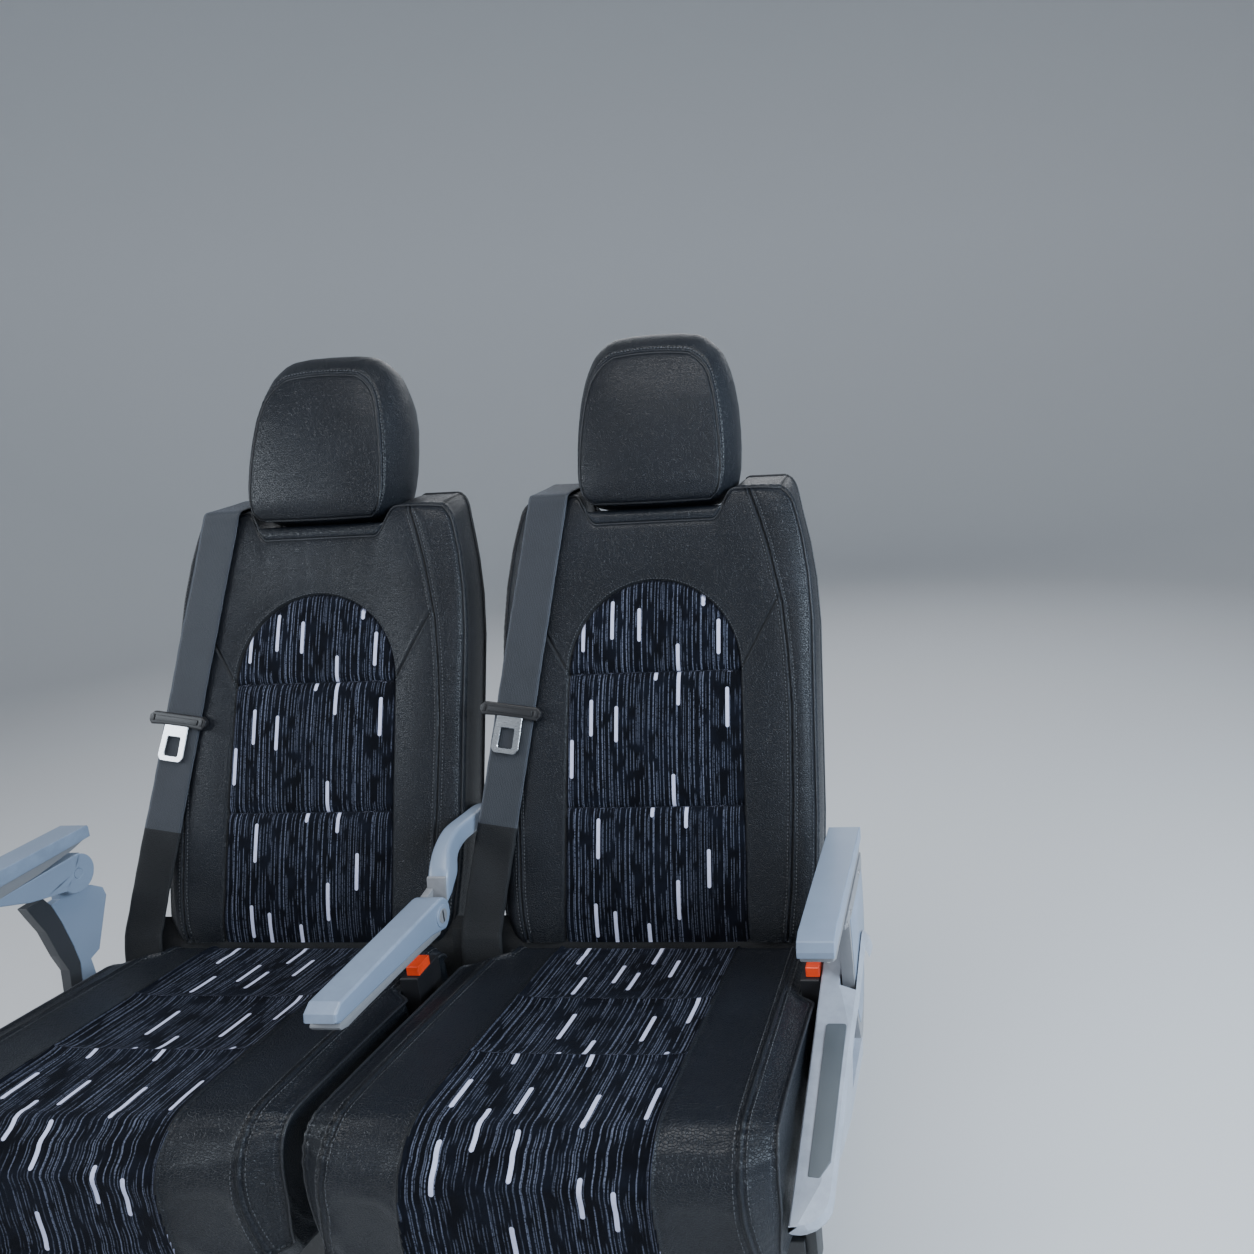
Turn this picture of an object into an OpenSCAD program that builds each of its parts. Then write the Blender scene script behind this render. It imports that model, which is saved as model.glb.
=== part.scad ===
// Twin passenger seat for a touring coach: a window seat and an aisle seat on
// one underframe. The seats face -Y, the aisle is at +X, the floor is z = 0.
// x = 0 is the aisle seat's centre line, above the middle of the pedestal foot.

/* [Seats] */
// Distance between the two seats' centre lines
seat_pitch = 475; // [465:1:480]
// Width of each seat cushion
cushion_w = 454; // [446:1:456]
// Front of the cushions, measured forward from the pedestal's centre
cushion_front = 256; // [250:1:270]
// Height of the cushion's rear edge above the floor
cushion_rear_z = 451; // [446:1:452]
// Height of the cushion's front crest above the floor
cushion_crest_z = 489; // [480:1:494]

/* [Backrests] */
// Backward lean of the backrest when it is upright
back_lean = 19; // [18:1:20]
// Height of the backrest along its own slope
back_h = 577; // [560:1:590]
// Thickness of the backrest's upholstered part
back_pad_t = 72; // [68:1:72]
// Thickness of the hard shell behind the backrest
back_shell_t = 34; // [26:1:36]

/* [Headrests] */
// Width of the headrest pad
headrest_w = 222; // [206:1:224]
// Height of the headrest pad
headrest_h = 240; // [220:1:244]

/* [Belts] */
// Width of the belt webbing
web_w = 54; // [48:1:54]

/* [Armrests] */
// Width of the aisle and window armrest pads
pad_w = 38; // [34:1:38]
// Length of the aisle armrest pad; the window one is 14 longer
pad_l = 256; // [240:2:258]
// Width of the centre armrest
centre_arm_w = 36; // [32:1:38]
// Length of the centre armrest from its pivot to its tip
centre_arm_l = 216; // [196:4:220]

/* [Underframe] */
// Height of the beams' lower face above the floor
beam_z = 285; // [270:5:285]
// Side of the square beams
beam_s = 40; // [36:1:40]
// Diameter of the fixing bolt holes
bolt_d = 11; // [9:0.5:13]

/* [Hidden] */
$fn = 48;

// seat centre lines
aisle_x = 0;
window_x = -seat_pitch;
mid_x = -seat_pitch / 2;

// underframe stations
front_beam_y = -150;
rear_beam_y = 120;
beam_top = beam_z + beam_s;
aisle_end = 232;             // inner face of the aisle side panel
wall_x = -seat_pitch - 302;  // face that meets the side wall
wall_t = 12;

// where the backrest's front face meets the cushion
fold_y = 168;
fold_z = 443;

// recline axis
rec_y = 228;
rec_z = 393;
rec_pin_r = 8;
rec_gap = 0.05;
dy = rec_y - fold_y;
dz = rec_z - fold_z;
rec_t = dy * cos(back_lean) - dz * sin(back_lean);
rec_h = dy * sin(back_lean) + dz * cos(back_lean);

// backrest half outline; columns: height along the slope, half width
back_rows = [
  [-6, 186], [4, 197], [30, 204], [90, 209], [150, 211], [400, 211],
  [460, 207], [510, 199], [555, 189], [back_h + 50, 176]];
shell_rows = [
  [26, 182], [50, 194], [150, 196], [400, 200], [460, 197], [510, 190],
  [555, 181], [back_h + 50, 170]];
// top outline at the front face; it rises to the rear, so the top face is level in the row
top_rise = 0.41;
top_rows = [[-160, 240], [back_h - 77, 240], [back_h - 32, 196], [back_h - 12, 184], [back_h, 171]];
bolster = 14;                // the backrest's front face stands this far ahead of the fold
saddle_w = 228;              // width of the dip that the headrest sits in
saddle_h = 555;

// shoulder belt: centre of the webbing at two heights on the backrest
belt_top = [-140, 586];
belt_low = [-227, 12];
belt_tilt = atan2(belt_top[0] - belt_low[0], belt_top[1] - belt_low[1]);
web_t = 2.4;
belt_front = -bolster - 4;   // rear face of the webbing
stop_h = 292;
stop_dx = -5;                // stop and tongue sit this far off the webbing's centre

// headrest
head_base = 560;
post_x = 55;
post_r = 6;
post_t = 24;

// centre armrest pivot
hub_y = 60;
hub_z = 538;
hub_r = 21;
stub_w = 27;
arm_c = mid_x - 2;
stub_c = mid_x - 6.5;
stub_back_x = [window_x + 211, -240];  // the stub's rear part stands further towards the window seat
knuckle_t = 9;

// aisle armrest
pad_x0 = aisle_end + 1;      // inner face of the pad
pad_top = 603;
pad_front = -100;
leg_x0 = 256;
leg_t = 13;
leg_piv_y = 62;
leg_piv_z = 400;

// aisle side panel
panel_w = 46;
panel_front = -232;
panel_rear = 150;
panel_z0 = 470;              // height of the panel's top face at y = 0
panel_slope = 16.7;          // the top face falls towards the front by this angle

// window armrest pivot
warm_y = 117;
warm_z = 567;
warm_top = 626;
warm_front = -126;
warm_x0 = -seat_pitch - 298;   // station that the window armrest's plates are set out from
warm_pad_x0 = wall_x;        // outer face of the window pad

module at_back(cx) {
  translate([cx, fold_y, fold_z]) rotate([-back_lean, 0, 0]) children();
}

// a plate cut from an outline of half widths, from depth t0, t thick
module half_outline(rows) {
  n = len(rows);
  polygon(concat([for (r = rows) [r[1], r[0]]],
                 [for (i = [n - 1:-1:0]) [-rows[i][1], rows[i][0]]]));
}
module upright_plate(rows, t0, t) {
  translate([0, t0 + t, 0]) rotate([90, 0, 0]) linear_extrude(t) half_outline(rows);
}
// a solid of constant width whose side view is drawn with y to the right, z up
module side_cut(x0, w) {
  translate([x0, 0, 0]) rotate([90, 0, 90]) linear_extrude(w) children();
}
module x_cyl(x0, w, y, z, r) {
  translate([x0, y, z]) rotate([0, 90, 0]) cylinder(h = w, r = r);
}

// ---------- underframe ----------
module pedestal() color([0.10, 0.10, 0.11]) {
  difference() {
    union() {
      translate([-55, -172, 0]) cube([110, 344, 12]);
      side_cut(-30, 60) polygon([[-118, 12], [118, 12], [96, 60], [92, 190], [150, beam_z - 12],
        [-180, beam_z - 12], [-98, 190], [-100, 60]]);
      translate([-42, -180, beam_z - 12]) cube([84, 330, 12]);
    }
    for (sx = [-1, 1], sy = [-1, 1])
      translate([sx * 40, sy * 145, -1]) cylinder(h = 14, d = bolt_d);
  }
}
module beam(y) color([0.11, 0.11, 0.12])
  translate([wall_x + wall_t, y - beam_s / 2, beam_z]) cube([aisle_end - wall_x - wall_t, beam_s, beam_s]);
module front_beam() beam(front_beam_y);
module rear_beam() beam(rear_beam_y);
module wall_bracket() color([0.13, 0.13, 0.14]) {
  difference() {
    translate([wall_x, -185, 236]) cube([wall_t, 340, beam_top - 236]);
    for (y = [-100, 70], z = [256, 304])
      translate([wall_x - 1, y, z]) rotate([0, 90, 0]) cylinder(h = wall_t + 2, d = bolt_d);
  }
}

// recline brackets on the rear beam; ears is a list of [inner x, thickness, pin length towards +x or -x]
module hinge_ear(x0, t) {
  side_cut(x0, t) union() {
    polygon([[140, beam_z + 2], [140, beam_top - 1], [rec_y - 20, rec_z + 12], [rec_y + 22, rec_z - 8], [166, beam_z + 2]]);
    translate([rec_y, rec_z]) circle(r = 24);
  }
}
module centre_hinge_bracket() color([0.12, 0.12, 0.13]) {
  hinge_ear(-219, 10);
  hinge_ear(window_x + 209, 10);
  translate([window_x + 209, 140, beam_z + 2]) cube([-209 - window_x - 209, 8, beam_s - 4]);
  x_cyl(-219, 41, rec_y, rec_z, rec_pin_r);
  x_cyl(window_x + 178, 41, rec_y, rec_z, rec_pin_r);
}
module aisle_hinge_bracket() color([0.12, 0.12, 0.13]) {
  hinge_ear(209, 10);
  x_cyl(178, 41, rec_y, rec_z, rec_pin_r);
}
module window_hinge_bracket() color([0.12, 0.12, 0.13]) {
  hinge_ear(window_x - 219, 10);
  x_cyl(window_x - 219, 41, rec_y, rec_z, rec_pin_r);
}

// ---------- seat bottoms ----------
module seat_pan(cx) color([0.09, 0.09, 0.10])
  translate([cx, 0, 0]) difference() {
    translate([-204, -242, beam_top]) cube([408, 382, 12]);
    translate([-208, 96, beam_top - 1]) cube([32, 46, 14]);
    translate([176, 96, beam_top - 1]) cube([30, 46, 14]);
  }
module aisle_seat_pan() seat_pan(aisle_x);
module window_seat_pan() seat_pan(window_x);

module seat_cushion(cx) color([0.07, 0.08, 0.10]) {
  nose = 58;
  pan_top = beam_top + 12;
  ny = -cushion_front + nose;
  nz = cushion_crest_z - nose;
  translate([cx, 0, 0]) difference() {
    side_cut(-cushion_w / 2, cushion_w) polygon(concat(
      [[146, pan_top], [146, cushion_rear_z - 8], [120, cushion_rear_z + 3]],
      [for (a = [90:15:180]) [ny + nose * cos(a), nz + nose * sin(a)]],
      [[-cushion_front + 6, pan_top + 22], [-cushion_front + 34, pan_top]]));
    // relief for the buckle at the right rear and for the belt at the left rear
    translate([205, 22, pan_top - 1]) cube([60, 132, 160]);
    translate([-cushion_w / 2 - 1, 110, pan_top - 1]) cube([45, 60, 160]);
  }
}
module aisle_seat_cushion() seat_cushion(aisle_x);
module window_seat_cushion() seat_cushion(window_x);

// ---------- aisle side panel ----------
// the top face is a plane that falls towards the front; x, y on it are local
module on_slope() {
  translate([0, 0, panel_z0]) rotate([panel_slope, 0, 0]) children();
}
module panel_body() {
  intersection() {
    // cross-section: the outer side tucks in below a rounded shoulder
    on_slope() translate([0, 170, 0]) rotate([90, 0, 0]) linear_extrude(440)
      polygon([[aisle_end, -230], [aisle_end, -2], [aisle_end + 2, 0], [aisle_end + panel_w - 6, 0],
        [aisle_end + panel_w - 2, -2], [aisle_end + panel_w, -6], [aisle_end + panel_w, -24],
        [aisle_end + panel_w - 8, -64], [aisle_end + panel_w - 16, -120], [aisle_end + panel_w - 16, -230]]);
    // side view: thin at the front end, deep over the rear beam
    side_cut(aisle_end - 1, panel_w + 2)
      polygon([[panel_front, 392], [panel_front + 6, 386], [-150, 366], [-70, 332], [0, 318], [88, 318], [96, beam_z + 1],
        [panel_rear - 6, beam_z + 1], [panel_rear, 320], [panel_rear, 462], [136, 484], [112, 500], [96, 520], [-200, 520], [panel_front, 420]]);
    // plan view: the outer front corner is rounded off
    translate([0, 0, 200]) linear_extrude(400) union() {
      translate([aisle_end - 1, panel_front + 34]) square([panel_w + 2, 420]);
      translate([aisle_end + panel_w - 34, panel_front + 34]) circle(r = 34);
      translate([aisle_end - 1, panel_front - 1]) square([panel_w - 33, 40]);
    }
  }
  // lug on the front beam's end
  translate([aisle_end, -164, beam_z + 2]) cube([14, 28, 372 - beam_z]);
}
insert_rows = [[243, -27], [268, -27], [266, -174], [257, -192], [243, -190]];
module aisle_side_panel() color([0.72, 0.74, 0.77]) {
  difference() {
    panel_body();
    // armrest slot, open at the rear
    translate([leg_x0 - 2.5, 20, 345]) cube([leg_t + 5, 200, 220]);
    translate([leg_x0 - 2.5, 118, 250]) cube([leg_t + 5, 200, 220]);
    // recess that holds the insert
    on_slope() translate([0, 0, -3.2]) linear_extrude(40) offset(delta = 0.2) polygon(insert_rows);
  }
  // pivot pin across the slot
  x_cyl(leg_x0 - 6, leg_t + 12, leg_piv_y, leg_piv_z, 6);
}
// dark insert let into the top face
module aisle_panel_insert() color([0.33, 0.35, 0.38])
  on_slope() translate([0, 0, -3.2]) linear_extrude(3.2) polygon(insert_rows);

// ---------- aisle armrest ----------
module arm_pad_shape(x0, y0, top, l) {
  side_cut(x0, pad_w) polygon([
    [y0, top - 14], [y0 + 4, top - 4], [y0 + 16, top],
    [y0 + l, top - 4], [y0 + l, top - 18],
    [y0 + l - 8, top - 34], [y0 + 22, top - 34], [y0 + 6, top - 26]]);
}
module aisle_armrest_pad() color([0.74, 0.77, 0.80]) arm_pad_shape(pad_x0, pad_front, pad_top, pad_l);
module aisle_armrest_leg() color([0.68, 0.70, 0.72]) {
  difference() {
    union() {
      side_cut(leg_x0, leg_t)
        polygon([[8, pad_top - 34], [148, pad_top - 34], [152, 530], [150, 500], [140, 470], [120, 440], [96, 410], [leg_piv_y + 15, leg_piv_z - 5],
          [leg_piv_y - 15, leg_piv_z - 5], [28, 430], [25, 500], [20, 530]]);
      x_cyl(leg_x0, leg_t, leg_piv_y, leg_piv_z, 17);
    }
    x_cyl(leg_x0 - 1, leg_t + 2, leg_piv_y, leg_piv_z, 6.05);
  }
}

// ---------- window armrest ----------
module window_armrest_pad() color([0.74, 0.77, 0.80]) arm_pad_shape(warm_pad_x0, warm_front, warm_top, pad_l + 14);
module window_armrest_beam() color([0.66, 0.70, 0.76]) {
  difference() {
    union() {
      side_cut(warm_x0 + 14, 18)
        polygon([[warm_front + 30, warm_top - 34], [warm_y + 8, warm_top - 34], [warm_y + 16, warm_z], [warm_y + 4, warm_z - 18],
          [95, 553], [67, 560], [45, 566], [7, 582], [warm_front + 96, 588]]);
      x_cyl(warm_x0 + 14, 18, warm_y, warm_z, 25);
    }
    x_cyl(warm_x0 + 13, 20, warm_y, warm_z, 6.05);
  }
}
// the fixed bracket carries the armrest's pivot pin beside the beam
module window_armrest_bracket() color([0.66, 0.70, 0.76]) {
  side_cut(warm_x0 + 1, 12)
    polygon([[100, beam_top], [140, beam_top], [130, 400], [126, 440], [141, 445], [157, 481], [169, 508], [166, 521], [150, 533],
      [130, 539], [88, 539], [97, 510], [106, 470], [110, 444], [104, 400]]);
  side_cut(warm_x0 + 1, 12) union() {
    translate([warm_y, warm_z]) circle(r = 15);
    translate([warm_y - 15, 536]) square([28, warm_z - 536]);
  }
  x_cyl(warm_x0 + 1, 31, warm_y, warm_z, 6);
}
module window_bracket_trim() color([0.20, 0.21, 0.23]) {
  side_cut(warm_x0 - 1, 14)
    polygon([[55, 552], [80, 552], [87.6, 539], [96.6, 510], [105.6, 470], [109.6, 444], [103.6, 400], [99.6, beam_top],
      [86, beam_top], [88, 400], [92, 444], [83, 470], [73, 510], [62, 535]]);
}

// ---------- buckles ----------
module buckle(cx) color([0.06, 0.06, 0.07]) translate([cx, 0, 0]) {
  translate([208, 28, 404]) cube([22, 50, 72]);
  translate([214, 100, beam_top]) cube([6, 30, 6]);
  side_cut(214, 6) polygon([[100, beam_top + 3], [130, beam_top + 3], [66, 410], [40, 410]]);
}
module aisle_buckle() buckle(aisle_x);
module window_buckle() buckle(window_x);
module buckle_button(cx) color([0.90, 0.22, 0.10]) translate([cx, 0, 0])
  translate([214, 33, 476]) cube([16, 26, 12]);
module aisle_buckle_button() buckle_button(aisle_x);
module window_buckle_button() buckle_button(window_x);

// ---------- belts ----------
// the webbing lies in a plane just ahead of the backrest's front face
module web(h0, h1, w, t0, t, dx = 0) {
  translate([belt_low[0], 0, belt_low[1]]) rotate([0, belt_tilt, 0])
    translate([dx - w / 2, t0, h0 - belt_low[1]]) cube([w, t, h1 - h0]);
}
module shoulder_belt(cx) color([0.16, 0.16, 0.18]) at_back(cx) {
  difference() {
    web(26, back_h + 12, web_w, belt_front - web_t, web_t);
    translate([-250, -60, back_h + 0.5]) cube([300, 120, 60]);
  }
  // turned over the top edge to the rear
  t0 = belt_front - web_t - 0.8;
  translate([belt_top[0] - web_w / 2 - 1, t0, back_h + (t0 + bolster) * top_rise + 0.5])
    rotate([atan(top_rise), 0, 0]) cube([web_w + 2, 72, web_t + 0.6]);
}
module aisle_shoulder_belt() shoulder_belt(aisle_x);
module window_shoulder_belt() shoulder_belt(window_x);
module belt_stop(cx) color([0.07, 0.07, 0.08]) at_back(cx) {
  difference() {
    web(stop_h - 9, stop_h + 9, 84, belt_front - web_t - 5, 5 + web_t + 3, stop_dx);
    web(stop_h - 12, stop_h + 12, web_w + 1.2, belt_front - web_t - 0.3, web_t + 0.6);
  }
}
module aisle_belt_stop() belt_stop(aisle_x);
module window_belt_stop() belt_stop(window_x);
module belt_tongue(cx) color([0.72, 0.73, 0.75]) at_back(cx) {
  difference() {
    web(stop_h - 55, stop_h - 9, 38, belt_front - web_t - 4, 3, stop_dx);
    web(stop_h - 48, stop_h - 22, 20, belt_front - web_t - 6, 7, stop_dx);
  }
}
module aisle_belt_tongue() belt_tongue(aisle_x);
module window_belt_tongue() belt_tongue(window_x);
// lower end of the belt, sewn round its anchor on the rear beam
module belt_anchor(cx) color([0.14, 0.14, 0.16]) translate([cx, 0, 0]) {
  side_cut(belt_low[0] - web_w / 2 + 1, web_w)
    polygon([[146.8, 458], [149.4, 458], [127, beam_top + 16], [126.6, beam_top], [118, beam_top], [118, beam_top + 14], [124.4, beam_top + 17]]);
}
module aisle_belt_anchor() belt_anchor(aisle_x);
module window_belt_anchor() belt_anchor(window_x);

// ---------- backrests ----------
module back_frame(cx) color([0.13, 0.13, 0.14]) at_back(cx) {
  difference() {
    union() {
      for (s = [-1, 1]) side_cut(s > 0 ? 198 : -204, 6) union() {
        polygon([[rec_t - 20, rec_h], [62, 20], [62, 150], [86, 150], [92, 60], [rec_t + 22, rec_h]]);
        translate([rec_t, rec_h]) circle(r = 24);
      }
      x_cyl(-198, 396, rec_t, rec_h, 15);
    }
    x_cyl(-206, 412, rec_t, rec_h, rec_pin_r + rec_gap);
  }
}
module aisle_back_frame() back_frame(aisle_x);
module window_back_frame() back_frame(window_x);

module rising_plate(rows, t0, t, drop) intersection() {
  upright_plate(rows, t0, t);
  translate([0, 0, bolster * top_rise - drop]) multmatrix([[1, 0, 0, 0], [0, 1, 0, 0], [0, top_rise, 1, 0], [0, 0, 0, 1]])
    upright_plate(top_rows, t0 - 1, t + 2);
}
module back_cushion(cx) color([0.08, 0.09, 0.11]) at_back(cx) {
  difference() {
    rising_plate(back_rows, -bolster, back_pad_t, 0);
    // dip for the headrest
    translate([-saddle_w / 2, -bolster - 1, saddle_h]) cube([saddle_w, back_pad_t + 2, 80]);
    // lower edge rounded off ahead of the recline axis
    translate([-230, -bolster - 1, -20]) rotate([-34, 0, 0]) translate([0, -20, -40]) cube([460, 120, 40]);
    // holes for the headrest's posts
    for (s = [-1, 1]) translate([s * post_x, post_t, saddle_h - 150]) cylinder(h = 160, r = post_r + 0.8);
  }
}
module aisle_back_cushion() back_cushion(aisle_x);
module window_back_cushion() back_cushion(window_x);
module back_shell(cx) color([0.12, 0.13, 0.14]) at_back(cx) {
  difference() {
    rising_plate(shell_rows, back_pad_t - bolster, back_shell_t, 3);
    translate([-saddle_w / 2, back_pad_t - bolster - 1, saddle_h - 4]) cube([saddle_w, back_shell_t + 2, 90]);
    // upper rear edge chamfered
    translate([-230, back_pad_t - bolster + back_shell_t, back_h + 8]) rotate([40, 0, 0]) cube([460, 40, 60]);
  }
}
module aisle_back_shell() back_shell(aisle_x);
module window_back_shell() back_shell(window_x);
module seat_pocket(cx) color([0.10, 0.10, 0.11]) at_back(cx)
  translate([-150, back_pad_t - bolster + back_shell_t, 110]) cube([300, 8, 190]);
module aisle_seat_pocket() seat_pocket(aisle_x);
module window_seat_pocket() seat_pocket(window_x);

// ---------- headrests ----------
module headrest(cx) color([0.08, 0.09, 0.11]) at_back(cx) {
  top = head_base + headrest_h;
  side_cut(-headrest_w / 2, headrest_w) union() {
    polygon([[-20, head_base], [56, head_base], [78, head_base + 40], [80, top - 50], [52, top], [4, top],
      [-22, top - 40], [-34, top - 110], [-36, head_base + 26]]);
    translate([-10, head_base + 26]) circle(r = 26);
  }
}
module aisle_headrest() headrest(aisle_x);
module window_headrest() headrest(window_x);
module headrest_posts(cx) color([0.45, 0.46, 0.48]) at_back(cx)
  for (s = [-1, 1]) translate([s * post_x, post_t, head_base - 140]) cylinder(h = 140, r = post_r);
module aisle_headrest_posts() headrest_posts(aisle_x);
module window_headrest_posts() headrest_posts(window_x);

// ---------- centre armrest ----------
module centre_armrest_bracket() color([0.64, 0.67, 0.71]) {
  // the stub starts behind the sweep of the raised armrest
  side_cut(stub_c - stub_w / 2, stub_w)
    polygon([[hub_y + 31, hub_z - 4], [hub_y + 37, hub_z + 28], [128, 592], [134, 595.5], [134, 551.6], [hub_y + 46, hub_z + 4]]);
  // the rear part bolts flat to the side of the window seat's back
  side_cut(stub_back_x[0], stub_back_x[1] - stub_back_x[0])
    polygon([[116, 545.6], [116, 582], [128, 592], [140, 599], [156, 603], [176, 602], [240, 598], [268, 588], [252, 568], [176, 566]]);
  // knuckle plate on the window side
  side_cut(stub_c - stub_w / 2, knuckle_t)
    polygon([[hub_y - 1.7, hub_z + 9.8], [hub_y + 42.6, hub_z + 17.6], [hub_y + 46, hub_z - 2], [hub_y + 1.7, hub_z - 9.8]]);
  x_cyl(stub_c - stub_w / 2, knuckle_t, hub_y, hub_z, 15);
  // pivot pin
  x_cyl(stub_c - stub_w / 2 + knuckle_t - 1, 19, hub_y, hub_z, 5);
}
module centre_armrest() color([0.74, 0.77, 0.80]) {
  x0 = arm_c - centre_arm_w / 2;
  difference() {
    side_cut(x0, centre_arm_w) union() {
      translate([hub_y, hub_z]) circle(r = hub_r);
      polygon([[hub_y, hub_z + hub_r], [hub_y - centre_arm_l + 14, hub_z + 24], [hub_y - centre_arm_l + 3, hub_z + 18],
        [hub_y - centre_arm_l, hub_z + 7], [hub_y - centre_arm_l + 4, hub_z - 3], [hub_y - centre_arm_l + 16, hub_z - 8],
        [hub_y - 60, hub_z - 16], [hub_y, hub_z - hub_r]]);
    }
    // step for the bracket's knuckle on the window side, open to the rear and above
    side_cut(x0 - 1, stub_c - stub_w / 2 + knuckle_t + 0.5 - x0 + 1) union() {
      translate([hub_y, hub_z]) circle(r = 18);
      polygon([[hub_y - 12.2, hub_z - 4.4], [hub_y - 25.9, hub_z + 33.2], [hub_y - 25.9, hub_z + 60], [hub_y + 62, hub_z + 60],
        [hub_y + 62, hub_z - 2.4], [hub_y + 2.3, hub_z - 12.8]]);
    }
    x_cyl(stub_c - stub_w / 2 + knuckle_t - 4, 23, hub_y, hub_z, 5.05);
  }
}

pedestal();
front_beam();
rear_beam();
wall_bracket();
centre_hinge_bracket();
aisle_hinge_bracket();
window_hinge_bracket();
aisle_seat_pan();
window_seat_pan();
aisle_seat_cushion();
window_seat_cushion();
aisle_side_panel();
aisle_panel_insert();
window_armrest_bracket();
window_bracket_trim();
aisle_buckle();
aisle_buckle_button();
window_buckle();
window_buckle_button();
aisle_belt_anchor();
window_belt_anchor();
aisle_back_frame();
aisle_back_cushion();
aisle_back_shell();
aisle_seat_pocket();
aisle_shoulder_belt();
aisle_belt_stop();
aisle_belt_tongue();
aisle_headrest();
aisle_headrest_posts();
window_back_frame();
window_back_cushion();
window_back_shell();
window_seat_pocket();
window_shoulder_belt();
window_belt_stop();
window_belt_tongue();
centre_armrest_bracket();
window_headrest();
window_headrest_posts();
centre_armrest();
aisle_armrest_pad();
aisle_armrest_leg();
window_armrest_pad();
window_armrest_beam();
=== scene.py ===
"""Looks of a twin coach passenger seat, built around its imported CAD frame.

Lengths in the builders below are millimetres. Backrest shapes use their own axes:
x across, t rearwards through the backrest, h up along its slope.
"""

import math  # noqa: E402

import bmesh  # noqa: E402
import bpy  # noqa: E402
import numpy as np  # noqa: E402
from mathutils import Matrix, Vector  # noqa: E402


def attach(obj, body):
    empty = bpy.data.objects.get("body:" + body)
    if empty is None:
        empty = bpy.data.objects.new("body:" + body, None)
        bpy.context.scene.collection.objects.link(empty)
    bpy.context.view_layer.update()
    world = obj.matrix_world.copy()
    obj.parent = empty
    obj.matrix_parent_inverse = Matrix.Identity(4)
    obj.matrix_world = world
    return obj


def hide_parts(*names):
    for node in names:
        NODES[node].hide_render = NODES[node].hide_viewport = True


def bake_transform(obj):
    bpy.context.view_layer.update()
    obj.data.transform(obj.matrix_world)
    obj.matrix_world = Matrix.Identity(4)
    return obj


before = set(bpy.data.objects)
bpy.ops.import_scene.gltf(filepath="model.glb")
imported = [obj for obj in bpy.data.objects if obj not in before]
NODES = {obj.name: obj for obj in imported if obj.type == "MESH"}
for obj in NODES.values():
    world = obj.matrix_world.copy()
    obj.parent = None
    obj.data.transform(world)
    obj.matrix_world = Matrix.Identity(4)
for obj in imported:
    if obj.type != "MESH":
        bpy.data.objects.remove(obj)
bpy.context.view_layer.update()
SCENE = bpy.context.scene
SEATS = {"aisle": 0.0, "window": -475.0}
S19, C19 = math.sin(math.radians(19)), math.cos(math.radians(19))
RNG = np.random.default_rng(7)

# ---------------------------------------------------------------- camera


def photo_camera():
    yaw, pitch, roll = 0.1229, -0.2019, -0.0687
    f = Vector((-math.sin(yaw) * math.cos(pitch), math.cos(yaw) * math.cos(pitch), math.sin(pitch)))
    r = Vector((math.cos(yaw), math.sin(yaw), 0))
    u = r.cross(f)
    right = math.cos(roll) * r + math.sin(roll) * u
    up = -math.sin(roll) * r + math.cos(roll) * u
    data = bpy.data.cameras.new("photo_camera")
    data.sensor_width = 36
    data.lens = 36 * 1068 / 1254
    data.shift_x = (627 - 850.1) / 1254
    data.shift_y = (561 - 627) / 1254
    data.clip_start, data.clip_end = 0.02, 60
    cam = bpy.data.objects.new("photo_camera", data)
    m = Matrix.Identity(4)
    for k in range(3):
        m[k][0], m[k][1], m[k][2] = right[k], up[k], -f[k]
    m[0][3], m[1][3], m[2][3] = 0.4274, -1.0293, 1.1692
    cam.matrix_world = m
    SCENE.collection.objects.link(cam)
    SCENE.camera = cam


photo_camera()

# ---------------------------------------------------------------- material helpers


class Ex:
    """A shader number that can be written as plain arithmetic."""

    def __init__(self, nt, sock):
        self.nt, self.sock = nt, sock

    def _op(self, op, *others, clamp=False):
        n = self.nt.nodes.new("ShaderNodeMath")
        n.operation = op
        n.use_clamp = clamp
        for i, v in enumerate((self, *others)):
            if isinstance(v, Ex):
                self.nt.links.new(v.sock, n.inputs[i])
            else:
                n.inputs[i].default_value = float(v)
        return Ex(self.nt, n.outputs[0])

    def __add__(self, o):
        return self._op("ADD", o)

    __radd__ = __add__

    def __sub__(self, o):
        return self._op("SUBTRACT", o)

    def __rsub__(self, o):
        return self._op("MULTIPLY", -1)._op("ADD", o)

    def __mul__(self, o):
        return self._op("MULTIPLY", o)

    __rmul__ = __mul__

    def __truediv__(self, o):
        return self._op("DIVIDE", o)

    def floor(self):
        return self._op("FLOOR")

    def fract(self):
        return self._op("FRACT")

    def abs(self):
        return self._op("ABSOLUTE")

    def sin(self):
        return self._op("SINE")

    def max(self, o):
        return self._op("MAXIMUM", o)

    def min(self, o):
        return self._op("MINIMUM", o)

    def sqrt(self):
        return self._op("SQRT")

    def over(self, o):
        return self._op("GREATER_THAN", o)

    def step(self, a, b):
        """0 below a, 1 above b, smooth between; a may be above b."""
        n = self.nt.nodes.new("ShaderNodeMapRange")
        n.interpolation_type = "SMOOTHSTEP"
        n.clamp = True
        self.nt.links.new(self.sock, n.inputs[0])
        flip = not isinstance(a, Ex) and not isinstance(b, Ex) and a > b
        lo, hi = (b, a) if flip else (a, b)
        for i, v in ((1, lo), (2, hi)):
            if isinstance(v, Ex):
                self.nt.links.new(v.sock, n.inputs[i])
            else:
                n.inputs[i].default_value = v
        n.inputs[3].default_value, n.inputs[4].default_value = (1, 0) if flip else (0, 1)
        return Ex(self.nt, n.outputs[0])


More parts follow.
